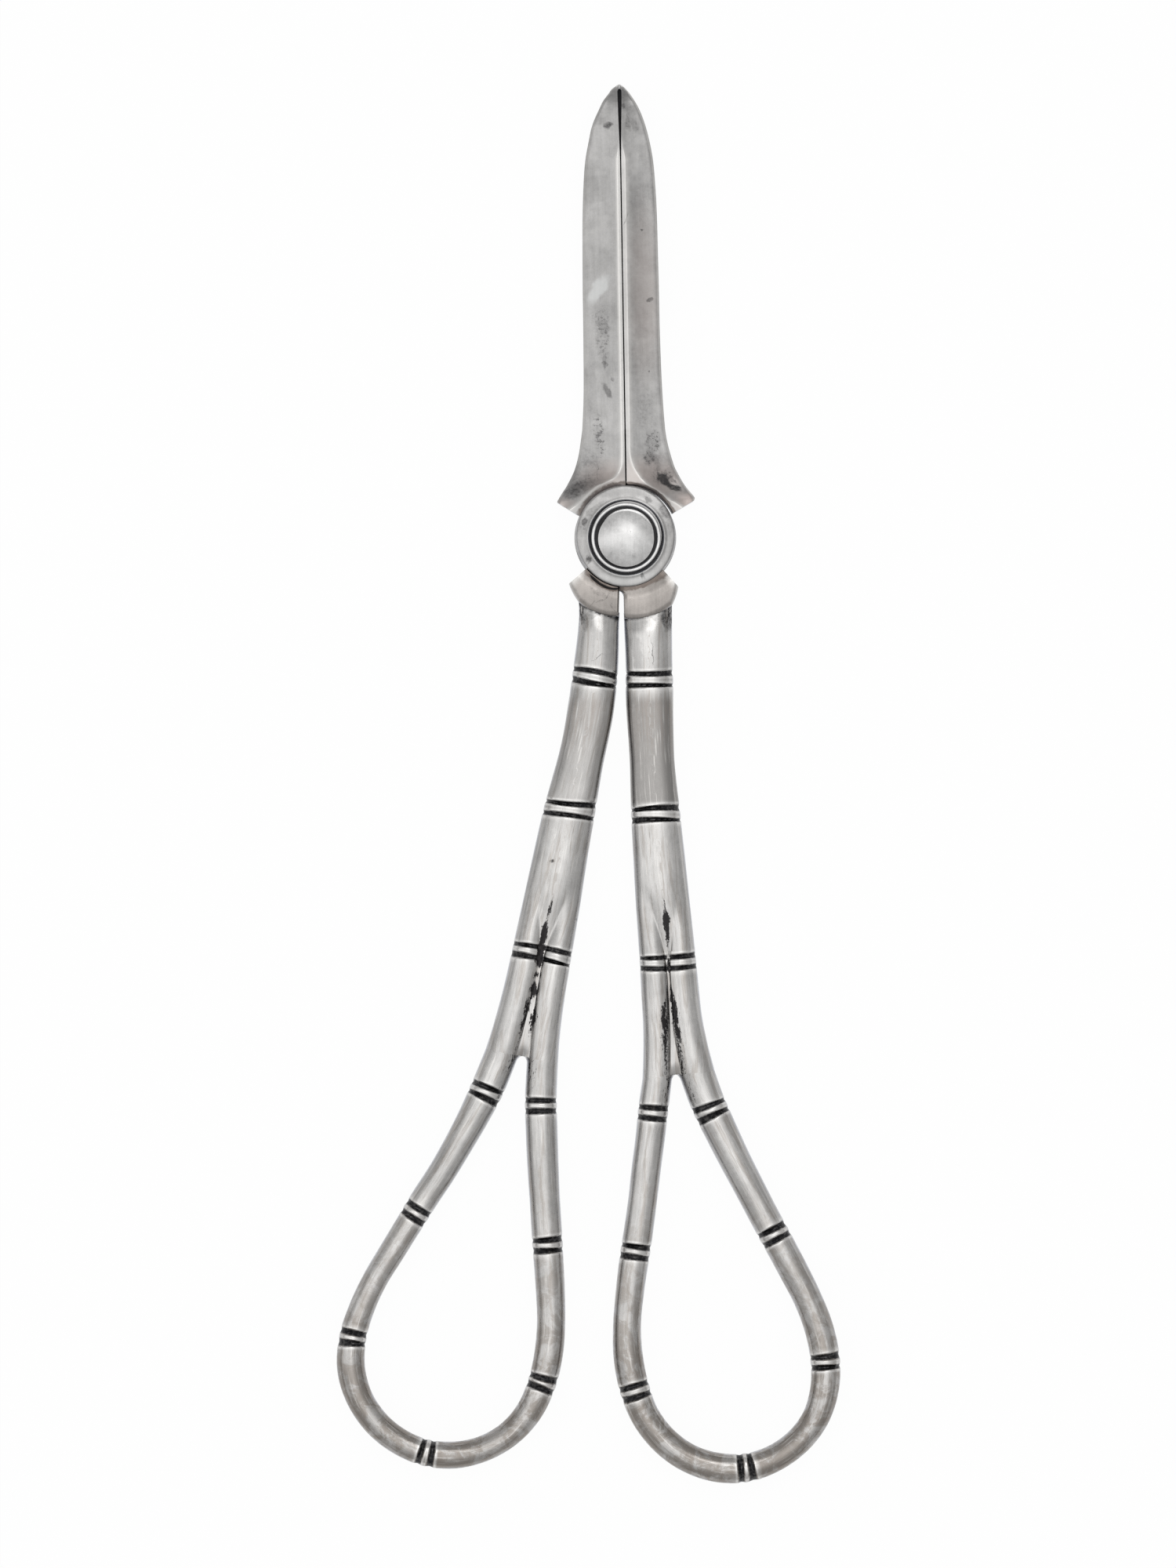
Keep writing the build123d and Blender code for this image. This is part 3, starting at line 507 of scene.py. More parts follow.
def make_blade_shell(hand):
    """One blade and its shoulder; hand is -1 for the left blade and 1 for the right."""
    left = hand < 0
    edge = curve(LEFT_EDGE if left else RIGHT_EDGE)
    bend = curve(LEFT_BEND if left else RIGHT_BEND)
    places = [0, 0.06, 0.14, 0.25, 0.4, 0.6, 0.8, 1, 1.3, 1.6, 2, 2.4, 2.8, 3.2]
    while places[-1] + 0.8 < STRAIGHT:
        places.append(places[-1] + 0.8)
    places += [STRAIGHT + 0.2 * step for step in range(72)]
    top, under = [], []
    for place in places:
        past = place - STRAIGHT
        if past < 0:
            y, out = TIP - place, edge(place)
            seam = 0.085 + 0.18 * ease(46.5, 57, y) ** 1.3
            seam = min(lerp(seam, 0.03, ease(56.75, 57.15, y)), 0.45 * out)
            land_width = (0.37 if left else 0.48) * (1 - 0.9 * ease(48, 50.2, y))
            ridge = min(seam + land_width, lerp(seam, out, 0.6))
            inner, middle, outer = (seam, y), (ridge, y), (out, y)
            ridge_z = RIDGE_Z - 1.1 * (1 - ease(0, 3.4, place)) ** 2
            inner_z = ridge_z - 0.07 * (1 - 0.8 * ease(47, 50.5, y))
        else:
            a, b, c, d, e, f = bend(past)
            inner, middle, outer = (a, b), (c, d), (e, f)
            ridge_z = RIDGE_Z - 0.16 * ease(10, 14.2, past)
            inner_z = LAP + lerp(1.65, 1.34 if left else 1.52, ease(4, 9, past))
        inside, wide = apart(inner, middle), apart(middle, outer)
        band = min(0.36, 0.3 * wide)
        chamfer_z = ridge_z - GROUND_SLOPE * (wide - band)
        drop = 0.15 * min(1, band / 0.3) + 0.03
        glow = 1 - ease(47.8, 50.4, middle[1])
        land = 1 - ease(1, 6.5, past)
        row = []

        def add(a, b, u, z, shine):
            """A point between a and b; the gap round the disc gets painted shadow."""
            x, y = between(a, b, u)
            moat_shadow = 0
            if past > 6.5:
                depth, start, stop = (0.8, 6.78, 7.22) if left else (1, 6.72, 7.04)
                moat_shadow = depth * (1 - ease(start, stop, hypot(x, y)))
            row.append((hand * x, y, z, shine * (glow if a is inner or u < 0.5 else 1), moat_shadow))

        # Shine is a painted highlight along the land, the ridge and the face beside it
        best = 0.92 if left else lerp(0.78, 0.55, land)
        for step in LAND_STEPS:
            shine = max(0.62 * best * land, 0.26 * (1 - land), best * bell((1 - step) * inside, 0.26))
            add(inner, middle, step, lerp(inner_z, ridge_z, step), shine)
        add(inner, middle, 1, ridge_z, best)
        share = 1 - band / wide if wide > 0 else 0.5
        fade_out = lerp(0.34, 0.22 if left else 0.42, land)
        for step in FACE_STEPS:
            hollow = 0.085 * sin(pi * step) * min(1, wide / 3)
            shine = best * bell(share * step * wide, fade_out)
            add(middle, outer, share * step, lerp(ridge_z, chamfer_z, step) - hollow, shine)
        # The chamfer gets a pale painted highlight
        for step in CHAMFER_STEPS:
            pale = (0.2 if left else 0.8) * ease(0, 0.5, step)
            z = chamfer_z - drop * (0.75 * step + 0.25 * step**3)
            add(middle, outer, share + (1 - share) * step, z, pale)
        top.append(row)

        # The back face, with the left blade's rabbet for the ledge
        low = inner
        if past >= 7.5:
            low = [part * (6.84 if left else 6.4) / hypot(*inner) for part in inner]
        span = max(0.01, outer[0] - low[0])
        back, start = [], 0
        if left:
            rabbet = min(1.78, 0.8 * (outer[0] - low[0]))
            for x, z in ((0, RABBET_Z), (rabbet - 0.02, RABBET_Z), (rabbet + 0.02, BLADE_BACK_Z)):
                back.append((hand * (low[0] + x), lerp(low[1], outer[1], x / span), z))
            start = min((rabbet + 0.2) / span, 0.9)
        last = len(row) - len(back) - 1
        for j in range(last + 1):
            x, y = between(low, outer, lerp(start, 1, j / last))
            z = BLADE_BACK_Z
            if j == last:
                x, z = x - 0.02, 1.32
            elif j == last - 1:
                x, z = lerp(low[0], outer[0], 0.955), 1.05
            back.append((hand * x, y, z))
        under.append(back)
    shell = Shell()
    shell.close(top, under)
    return shell


def arc(centre_r, centre_z, radius, start, end, steps):
    """Points of a small round in a turned profile."""
    found = [polar(lerp(start, end, i / steps), radius) for i in range(steps + 1)]
    return [(centre_r + r, centre_z + z) for r, z in found]


BORE_SHIFT = (-0.107, -0.234)  # the pivot is a little out of centre
RIM_SHIFT = (-0.16, -0.05)
BACK_SHIFT = (-0.2, -0.2, 0)


def front_disc_shift(r, z):
    outer = ease(4.95, 5.9, r)
    return (*between(BORE_SHIFT, RIM_SHIFT, outer), 0.0135 * outer) if r > 4.7 else STILL


profile = [(2.2, 2.34), (6.34, 2.34), (6.4, 2.42), (6.4, 3.8), *arc(6.06, 3.97, 0.34, 8, 76, 7)]
profile += [(5.9, 4.322), (5.6, 4.336), (5.38, 4.348), (5.24, 4.372), (5.12, 4.408), (5.02, 4.45)]
profile += [(4.93, 4.475), (4.86, 4.47), (4.8, 4.42), (4.76, 4.2), (4.74, 3.84), (4.4, 3.83), (2.2, 3.83)]
front_blade = make_blade_shell(-1).revolve(profile, front_disc_shift).build("front_blade_visual", 34)

shell = make_blade_shell(1)
LEDGE = ((5.2, 1.55), (20, 1.58), (40, 1.58), (52, 1.55), (54, 1.45), (55.6, 1.1), (56.7, 0.35), (57.12, 0.2))
rows = []
for y, out in LEDGE:
    section = ((0.5, 1.06), (0.5, 1.68), (-out + 0.05, 1.68), (-out, 1.62), (-out, 1.12), (-out + 0.06, 1.06))
    rows.append([(x, y, z) for x, z in section])
ids = shell.add_grid(rows, closed=True)
shell.faces += [tuple(ids[0]), tuple(ids[-1])]
profile = [(2.05, 2.26), (6.42, 2.26), (6.48, 2.2), (6.48, 0.6), *arc(6.14, 0.56, 0.34, -8, -66, 6)]
profile += [(5.9, 0.14), (5.25, 0.02), (3.22, 0.02), (3.14, 0.1), (3.14, 0.93), (2.05, 0.93)]
shell.revolve(profile, lambda r, z: BACK_SHIFT if r > 5.5 else STILL)
back_blade = shell.build("back_blade_visual", 34)


# Bolsters
def make_bolster(name, to_world, heel, beak, top_edge, parting, leaf, low_leaf, hollow=0, foot=0):
    """The beaked pad between an arm's disc and its handle.

    Heel is (turn, reach), beak (along, out), top_edge the upper edge's turn at the leaf, parting (turn, reach,
    turn at the leaf), hollow the reach of the painted black shadow in the gap under the disc, and foot the
    pad's reach sideways.
    """
    rows, columns, corner = 34, 28, 0.72
    top, under = [], []
    for i in range(rows + 1):
        t = i / rows
        if t < corner:
            turn, reach = between(parting, heel, t / corner)
            outer = polar(turn, reach + 0.24 * sin(pi * t / corner))
        else:
            u = (t - corner) / (1 - corner)
            x, y = between(polar(*heel), beak, u)
            outer = (x + 0.055 * sin(pi * u), y + 0.077 * sin(pi * u))
        inner_turn = lerp(parting[2], top_edge, t**0.9)
        inner, low = polar(inner_turn, leaf), polar(inner_turn, low_leaf)
        span = apart(inner, outer)
        spread = foot * (1 - ease(0, 0.12, t))
        from_end, from_parting = (1 - t) * 7, t * 9
        row_top, row_under = [], []
        for j in range(columns + 1):
            u = 1 - (1 - j / columns) ** 1.35
            (s, w), (s_low, w_low) = between(inner, outer, u), between(low, outer, u)
            w -= spread * (1 - quarter((s - 6.95) / 0.45))
            w_low -= spread * (1 - quarter((s_low - 6.95) / 0.45))
            reach = hypot(s, w)
            rise = 1.75 + 0.36 * ease(6.4, 8.2, reach) - 0.16 * ease(8.6, 10.4, reach)
            from_edge = (1 - u) * span
            rise -= 0.12 * max(0, 1 - from_end / 0.75)
            for gap, rounding, fall in ((from_edge, 0.75, 0.85), (from_parting, 0.3, 0.7)):
                rise -= rounding * (1 - quarter(gap / rounding)) * fall
            rise = max(rise, 0.7)
            # Painted highlight at the beak's end and, past the corner, along the outer edge
            shine = 0.85 * bell(from_end, 0.55)
            if t >= corner:
                shine = max(shine, 0.45 * bell(from_edge, 0.6))
            off_leaf = u * span
            # Painted shadow by the disc: a black crescent when hollow is set, else a soft brown band
            if hollow:
                deep = 0.1 + hollow * sin(pi * t**0.6)
                black = 3 * bell(off_leaf - deep, 0.19) * sin(pi * min(0.98, t + 0.1)) ** 0.5
                painted_shadow = max(black, 0.95 * (1 - ease(deep - 0.05, deep + 0.75, off_leaf)))
            else:
                painted_shadow = 1.15 * (1 - ease(0.24, 1 + 0.5 * ease(0.7, 0.95, t), off_leaf))
            row_top.append((*to_world(s, w, LAP + rise), shine, painted_shadow))
            row_under.append(to_world(s_low, w_low, LAP - rise))
        top.append(row_top)
        under.append(row_under)
    shell = Shell()
    shell.close(top, under)
    return shell.build(name, 40)


def handle_frame(splay, hand):
    """Turns (down the handle, outwards, z) into places in the part's frame."""
    cosine, sine = polar(splay, 1)
    return lambda s, w, z: (hand * (s * sine + w * cosine), -s * cosine + w * sine, z)


front_frame = handle_frame(5.04, 1)
back_frame = handle_frame(12.36, -1)
front_bolster = make_bolster(
    "front_bolster_visual", front_frame, heel=(27.4, 10.52), beak=(7.16, 5.84), top_edge=40.8,
    parting=(-7.85, 10.52, -9.6), leaf=6.3, low_leaf=6.76, foot=0.53,
)
back_bolster = make_bolster(
    "back_bolster_visual", back_frame, heel=(25, 10.4), beak=(7.44, 6.02), top_edge=39.6,
    parting=(-5.6, 10.3, -3.1), leaf=6.66, low_leaf=6.4, hollow=0.3,
)


# Handles. The edges stand at EDGE_PLACES and at the stem's end. Middle and roots run down the stem: place, then
# the middle of the web, or the two canes' widths. Canes go round the loop: along, out, width. Loop nodes count
# ROUTE_STEPS along that way. Crease: place, half width. Streaks: place, offset, width, strength.
EDGE_PLACES = (9.6, 12, 14, *range(17, 66, 3))
FRONT = {
    "inner_edge": (
        -1.4, -1.58, -1.7, -1.92, -2.24, -2.42, -2.52, -2.66, -2.9, -3.12, -3.32, -3.48, -3.64, -3.78, -3.89,
        -4, -4.14, -4.3, -4.45, -4.72, -5.24,
    ),
    "outer_edge": (
        4.92, 4.62, 4.36, 4.04, 3.84, 3.52, 3.26, 3.05, 3.02, 3.05, 3.07, 3.1, 3.1, 3.1, 3.12, 3.13, 3.12, 3.1,
        3.14, 3.42, 4.02,
    ),
    "middle": ((44, -0.22), (47, -0.1), (54.7, -0.4), (62, -0.66), (69, -1.02)),
    "roots": ((44, 3.7, 3.9), (54.6, 3.8, 4.1), (62, 3.82, 4.35), (69, 3.84, 4.62)),
    "split": 68.9,
    "end": 69,
    "canes": (
        (72.84, -4.24, 3.82), (76.75, -5.09, 3.76), (80.64, -6.01, 3.74), (84.55, -6.88, 3.68),
        (88.43, -7.83, 3.74), (92.31, -8.84, 3.74), (96.2, -9.76, 3.6), (100.13, -10.5, 3.56),
        (104.1, -10.76, 3.76), (108.01, -10.42, 3.8), (111.84, -9.38, 3.7), (115.2, -7.3, 3.66),
        (117.85, -4.28, 3.66), (119.35, -0.75, 3.74), (119.72, 2.67, 3.62), (119, 6.1, 3.46),
        (117.2, 9.44, 3.42), (114.39, 12.14, 3.48), (110.72, 13.72, 3.66), (106.79, 14.17, 3.74),
        (102.87, 13.78, 3.72), (99, 12.73, 3.66), (95.25, 11.31, 3.78), (91.53, 9.8, 3.82), (87.83, 8.27, 3.84),
        (84.09, 6.8, 3.92), (80.36, 5.33, 4.06), (76.59, 3.96, 4.26), (72.8, 2.66, 4.4),
    ),
    "stem_nodes": (18.5, 35.6, 54.6),
    "leans": (-0.085, -0.085, -0.045),
    "crease": (
        (45, 0), (46.4, 0.06), (48, 0.22), (49.3, 0.46), (50.3, 0.3), (52.2, 0.14), (52.9, 0), (53.8, 0),
        (54.3, 0.2), (55.3, 0.2), (56, 0.06), (57.5, 0.06), (58.4, 0),
    ),
    "streaks": (
        (
            (57.2, 0.04, 0.05, 0), (58.3, 0.1, 0.2, 1), (60.4, 0.26, 0.36, 1.25), (62.6, 0.46, 0.36, 1.2),
            (65, 0.68, 0.28, 1), (68.9, 1.04, 0.24, 0.8),
        ),
        (
            (58.7, -0.7, 0.05, 0), (60, -0.92, 0.28, 1.05), (63, -1.02, 0.34, 1.15), (66, -1.06, 0.3, 0.95),
            (68.9, -1.24, 0.22, 0.6),
        ),
    ),
    "loop_nodes": (55, 266, 478, 700, 921, 1129, 1339),
    "seed": 3,
}
BACK = {
    "inner_edge": (
        -0.98, -1.38, -1.77, -2.27, -2.6, -2.82, -2.84, -2.8, -2.88, -2.98, -3.08, -3.19, -3.32, -3.46, -3.56,
        -3.64, -3.75, -3.86, -4.04, -4.32, -4.7,
    ),
    "outer_edge": (
        4.6, 3.92, 3.66, 3.42, 3.22, 3.08, 2.96, 3.02, 3.24, 3.44, 3.6, 3.67, 3.72, 3.77, 3.83, 3.89, 3.94,
        4.02, 4.18, 4.42, 4.74,
    ),
    "middle": ((44, 0.12), (47, 0.14), (50.4, 0.34), (56, 0.28), (59, 0.22), (62, 0.08), (67.8, -0.14)),
    "roots": ((44, 3.8, 3.9), (54.6, 3.95, 4), (62, 4, 4.2), (67.8, 4.02, 4.3)),
    "split": 67.6,
    "end": 67.8,
    "canes": (
        (72.85, -3.5, 4.02), (76.74, -4.4, 4.06), (80.63, -5.34, 4), (84.52, -6.34, 3.88), (88.39, -7.37, 3.88),
        (92.26, -8.4, 3.8), (96.13, -9.43, 3.7), (100.04, -10.32, 3.6), (103.95, -10.82, 3.66),
        (107.9, -10.74, 3.6), (111.81, -9.86, 3.44), (115.25, -7.83, 3.3), (117.83, -4.79, 3.3),
        (119.3, -1.2, 3.44), (119.62, 2, 3.36), (118.95, 5.44, 3.36), (117.28, 8.77, 3.4),
        (114.48, 11.68, 3.46), (110.95, 13.5, 3.58), (106.98, 14.06, 3.44), (103.04, 13.65, 3.28),
        (99.22, 12.72, 3.22), (95.45, 11.36, 3.32), (91.68, 9.97, 3.38), (87.92, 8.59, 3.5),
        (84.19, 7.09, 3.56), (80.4, 5.78, 3.7), (76.58, 4.58, 3.96), (72.69, 3.55, 4.22),
    ),
    "stem_nodes": (18.5, 35.6, 54.25),
    "leans": (-0.03, -0.08, -0.015),
    "crease": (
        (46.4, 0), (47.2, 0.08), (48.2, 0.17), (49.2, 0.19), (49.7, 0.06), (50.2, 0.14), (50.7, 0.33),
        (52.4, 0.36), (54.6, 0.42), (55.6, 0.36), (56.1, 0.02), (56.5, 0.02), (56.9, 0.3), (57.3, 0.22),
        (57.7, 0.05), (58.1, 0.1), (58.6, 0.42), (59.6, 0.43), (60.1, 0.1), (60.6, 0),
    ),
    "streaks": (
        (
            (59.8, 0.34, 0.1, 0), (60.7, 0.48, 0.25, 1.05), (62.6, 0.6, 0.25, 0.95), (64.6, 0.78, 0.2, 0.9),
            (67.6, 1.12, 0.16, 0.5),
        ),
        (
            (60.4, -0.6, 0.1, 0), (61.4, -0.56, 0.24, 0.85), (63.9, -0.48, 0.28, 0.85), (65.2, -0.5, 0.12, 0.3),
            (67.6, -0.9, 0.1, 0.2),
        ),
    ),
    "loop_nodes": (67, 273, 478, 699, 922, 1130, 1336),
    "seed": 11,
}
WEB = 1.18  # heights over the lap plane, of the web, the stem and the canes
STEM = 2.12
CANE = 1.98
CANE_POWER = 0.93  # squares the canes' section a little
OVAL_POWER = 2.15
WEB_STEPS = 9
ARC_STEPS = 15
ARC_START = 143  # where a cane's round leaves the web, in degrees
STEM_TOP = 9.8
SEAT_RADIUS = 10.2  # of the bolsters' lower edge
COARSE, FINE = 0.7, 0.085  # between rows, on the bare cane and at a node
NODE_REACH = 1.42
ROUTE_STEPS = 1400


def hand_cut(seed, index):
    """How a filed groove strays: shares of depth and width, tilt, shift, wedge and bow."""
    a = sin(12.9898 * (seed + 1.7 * index)) * 43758.5453
    b = sin(78.233 * (seed + 0.9 * index)) * 12543.123
    a, b = a - int(a), b - int(b)
    return 0.92 + 0.2 * abs(a), 0.92 + 0.22 * abs(b), 0.022 * (a - b), 0.05 * b, 0.42 * a, 0.02 * b


def stations(start, stop, centres):
    """Places from start to stop, close together at the nodes."""
    places = [start]
    while places[-1] < stop - 1e-6:
        here = places[-1]
        near = any(abs(here + 0.5 * FINE - c) < NODE_REACH for c in centres)
        ahead = [c - NODE_REACH for c in centres if c - NODE_REACH > here + 1e-6]
        step = FINE if near else min([COARSE, *[max(FINE, place - here) for place in ahead]])
        places.append(min(stop, here + step))
    return places


def swell(place, centres, size):
    return 1 + size * sum(bell(place - c, 1.5) for c in centres)


def cut(place, lateral, grooves):
    """Depth of the grooves at a place on the bar, and their soot, below zero for a painted highlight on their
    lips.
    """
    depth, dark, lip = 0, 0, 0
    for centre, deep, half_width, tilt, wedge, bow in grooves:
        x = place + tilt * lateral + bow * lateral * lateral - centre
        half_width *= 1 + wedge * min(1, max(-1, lateral / 3.4))
        if abs(x) < half_width:
            p = 1 - abs(x) / half_width
            depth = max(depth, deep * p**0.75)
            dark = max(dark, min(1, 1.9 * p))
        elif abs(x) < half_width + 0.45:
            lip = max(lip, 1 - (abs(x) - half_width) / 0.45)
    return depth, dark if dark > 0 else -0.55 * lip


def cane_point(turn):
    """A point of a cane's section, across and up, for a cane of radius one."""
    c, s = polar(turn, 1)
    return abs(c) ** CANE_POWER * (1 if c > 0 else -1), abs(s) ** CANE_POWER


def unit(x, y):
    size = hypot(x, y)
    return x / size, y / size


def make_handle(name, shape, to_world):
    """A stem whose halves run on as the two canes of the finger loop."""
    edge_places = (*EDGE_PLACES, shape["end"])
    edges = curve(list(zip(edge_places, shape["inner_edge"], shape["outer_edge"])))
    middle, roots = curve(shape["middle"]), curve(shape["roots"])
    crease_width, streaks = curve(shape["crease"]), [curve(knots) for knots in shape["streaks"]]
    split, stem_nodes = shape["split"], shape["stem_nodes"]
    shell = Shell()

    def grooves_at(centre, index, spacing, width, deep, lean=0):
        """The two grooves of a node."""
        found = []
        for n, side in enumerate((-0.5, 0.5)):
            depth_share, width_share, tilt, stray, wedge, bow = hand_cut(shape["seed"], 2 * index + n)
            place = centre + side * spacing + stray
            found.append((place, deep * depth_share, width * width_share / 2, tilt + lean, wedge, bow))
        return found

    stem_grooves = []
    for index, (place, lean) in enumerate(zip(stem_nodes, shape["leans"])):
        stem_grooves += grooves_at(place, index, 1.46 if index < 2 else 1.4, 0.7, 0.34, lean)

    def web_height(place):
        return WEB * (1 - 0.45 * ease(split - 1.6, split, place) ** 1.5)

    def half_row(place, side):
        """One half of the stem, from its middle round the outside: side is -1 for the inner half."""
        low, high = edges(place)
        parted = ease(42.5, 56.5, place)
        dip = ease(44.5, 55, place)
        centre, half = (low + high) / 2, (high - low) / 2 * swell(place, stem_nodes, 0.012)
        squareness = 2.12 + 0.62 * ease(19.2, 22.5, place) * (1 - ease(33, 36.5, place))
        thick = STEM - 0.2 * ease(40, 60, place) - 0.52 * (1 - ease(9.8, 12.8, place))
        inner, outer = (width / 2 for width in roots(place))
        bars = [(inner, low + inner), (outer, high - outer)][::-side]
        bar, bar_centre = bars[0]
        mid = middle(place)
        rise = min(CANE, bar * 0.985)
        at_mid = []
        for radius, at in bars:
            x = min(1, abs(mid - at) / radius)
            at_mid.append(rise * (1 - x**OVAL_POWER) ** (1 / OVAL_POWER))
        web_point = (mid, max(web_height(place), sum(at_mid) / 2))
        reach = min(0.999, abs(mid - bar_centre) / bar)
        start = min(ARC_START, degrees(acos(-reach)) - 8)
        c, s = polar(start, 1)
        tangent = (bar_centre + side * bar * c, rise * s)
        points = [between(web_point, tangent, j / WEB_STEPS) for j in range(WEB_STEPS)]
        for j in range(ARC_STEPS + 1):
            across, up = cane_point(lerp(start, 0, j / ARC_STEPS))
            points.append((bar_centre + side * bar * across, rise * up))
        row = []
        total = len(points) - 1
        for j, bar_point in enumerate(points):
            c, s = polar(90 * (1 - j / total), 1)
            stem_w = centre + side * half * c ** (2 / squareness)
            stem_z = thick * s ** (2 / squareness) if j < total else 0
            w, z = lerp(stem_w, bar_point[0], parted), lerp(stem_z, bar_point[1], dip)
            depth, dark = cut(place, w - centre, stem_grooves)
            around = 0.4 + 0.6 * abs(z) / thick
            inside = lerp(1, ease(0, 0.26, j / total), parted)
            depth *= around * inside
            dark *= inside * ease(0.03, 0.3, around - 0.4 + 0.16)
            hold_centre = lerp(centre, bar_centre, parted)
            w = hold_centre + (w - hold_centre) * (1 - depth / half) if j else w
            z = z * (1 - depth / thick)

            # Tarnish in the crease and the torn streaks, painted shadow under the bolster's edge, and darker at
            # the stem's outer corner
            crease, stain = max(0, crease_width(place)), 0
            if crease > 0.02:
                stain = lerp(0.96, 1.28, ease(0.19, 0.34, crease)) * ease(0, 0.1, crease)
                stain *= exp(-(((w - mid) / (1.18 * crease)) ** 4))
            for streak in streaks:
                offset, streak_width, strength = streak(place)
                if strength > 0.01:
                    stain = max(stain, strength * bell(w - mid - offset, max(0.05, 1.3 * streak_width)))
            # Painted shadow in a thin line just below the bolster's lower edge
            shade = 0.62 * bell(place - 10.62, 0.26)
            dark = max(dark, shade) if shade > 0.05 else dark
            corner = 0.72 * ease(0.45, 0.95, (w - centre) / half) * (1 - ease(11.2, 15, place))
            row.append((w, z, dark, max(stain, corner)))
        return row

    def add_row(to_place, row, along):
        """The upper half of a row, then the same below."""
        upper, run = [], 0
        for before, point in zip([row[0], *row], row):
            run += apart(before, point)
            upper.append((*point, run))
        lower = [(w, -z, dark, stain, 2 * run - way) for w, z, dark, stain, way in upper[-2::-1]]
        return [
            shell.add_point(to_place(w, LAP + z), dark, stain, (along, way, 0))
            for w, z, dark, stain, way in upper + lower
        ]

    def seated(place, w):
        """Rows near the bolster follow its round lower edge."""
        bow = sqrt(SEAT_RADIUS**2 - min(w * w, 30)) - SEAT_RADIUS
        return place + bow * (1 - ease(10.6, 16, place))

    # The route of the canes, from the inner one at the crotch to the outer one
    low, high = edges(split)
    inner, outer = roots(split)
    start, end = (split, low + inner / 2, inner), (split, high - outer / 2, outer)
    knots = [start, *shape["canes"], end]
    lengths = [0]
    for a, b in zip(knots, knots[1:]):
        lengths.append(lengths[-1] + apart(a, b))
    route = curve([(length, *knot) for length, knot in zip(lengths, knots)])
    total = lengths[-1]

    node_places, loop_grooves = [total * step / ROUTE_STEPS for step in shape["loop_nodes"]], []
    for index, place in enumerate(node_places):
        loop_grooves += grooves_at(place, index + 4, 1.36, 0.86, 0.36)

    def loop_row(place):
        """A row round the bare cane, with its plane turned square to the route."""
        s, w, width = route(place)
        ahead, behind = route(min(total, place + 0.05)), route(max(0, place - 0.05))
        ts, tw = unit(ahead[0] - behind[0], ahead[1] - behind[1])
        square = (-tw, ts)
        from_split = min(place, total - place)
        turned = ease(0, 6, from_split)
        inwards = unit(*between((0, 1 if place < total / 2 else -1), square, turned))
        slant = inwards[0] * square[0] + inwards[1] * square[1]
        bar = width / 2 * swell(place, node_places, 0.016)
        lateral_bar = bar / lerp(1, slant, turned)
        rise = min(CANE, bar * 0.985)
        opened = quarter(from_split / 0.75)
        mid_gap = abs((middle(split) - w) / inwards[1]) if abs(inwards[1]) > 0.5 else bar

        def cane(turn):
            across, up = cane_point(turn)
            return -lateral_bar * across, rise * up

        points = []
        for j in range(WEB_STEPS):
            t = j / WEB_STEPS
            flat = between((mid_gap, web_height(split)), cane(ARC_START), t)
            points.append(between(flat, cane(lerp(180, ARC_START, t)), opened))
        points += [cane(lerp(ARC_START, 0, j / ARC_STEPS)) for j in range(ARC_STEPS + 1)]
        row = []
        for j, (into, z) in enumerate(points):
            depth, dark = cut(place, into, loop_grooves)
            high_share = abs(z) / rise
            depth *= 0.34 + 0.66 * high_share
            dark *= ease(0, 0.34, high_share + 0.1)
            stain = 0.62 * bell(j - WEB_STEPS - 0.5, 2.6) * (1 - ease(0.5, 7, from_split))
            row.append((into * (1 - depth / bar), z * (1 - depth / rise), dark, stain))

        def to_place(into, z):
            return to_world(s + inwards[0] * into, w + inwards[1] * into, z)

        return add_row(to_place, row, 80 + place)

    halves = []
    for side in (-1, 1):
        ids = []
        for place in stations(STEM_TOP, split, stem_nodes):
            row = half_row(place, side)
            ids.append(add_row(lambda w, z: to_world(seated(place, w), w, z), row, place + 7 * side))
        halves.append(ids)
        shell.join(ids)
    shell.faces.append(tuple(halves[0][0] + halves[1][0][::-1]))

    # The loop's rows stand closer at the crotch
    extra = [0.03, 0.09, 0.18, 0.3, 0.44, 0.6, 0.76]
    places = stations(0, total, node_places) + extra + [total - e for e in extra]
    places = sorted({round(place, 4) for place in places})
    run = [halves[0][-1], *[loop_row(place) for place in places[1:-1]], halves[1][-1]]
    shell.join(run)
    for a, b in zip(run, run[1:]):
        shell.faces.append((a[0], b[0], b[-1], a[-1]))
    return shell.build(name, 48)


front_handle = make_handle("front_handle_visual", FRONT, front_frame)
back_handle = make_handle("back_handle_visual", BACK, back_frame)


# Pivot
DOME_RADIUS, DOME_RISE, DOME_TOP, DOME_STEPS = 3.55, 1, 5.785, 21
DOME_SHIFT = (-0.12, -0.42, 0)
CUP_SHIFT = (-0.12, -0.24, 0)
ball = (DOME_RADIUS**2 + DOME_RISE**2) / (2 * DOME_RISE)
profile = [(0, 2.34), (1.96, 2.34), (1.96, 4.12), (3.46, 4.12), (3.54, 4.18), (DOME_RADIUS, 4.7)]
for step in range(DOME_STEPS + 1):
    turn = (1 - step / DOME_STEPS) * acos(1 - DOME_RISE / ball)
    profile.append((ball * sin(turn), DOME_TOP - ball * (1 - cos(turn))))
shell = Shell().revolve(profile, lambda r, z: DOME_SHIFT if z > 4.15 else STILL)
stud = shell.build("pivot_stud_visual", 40)

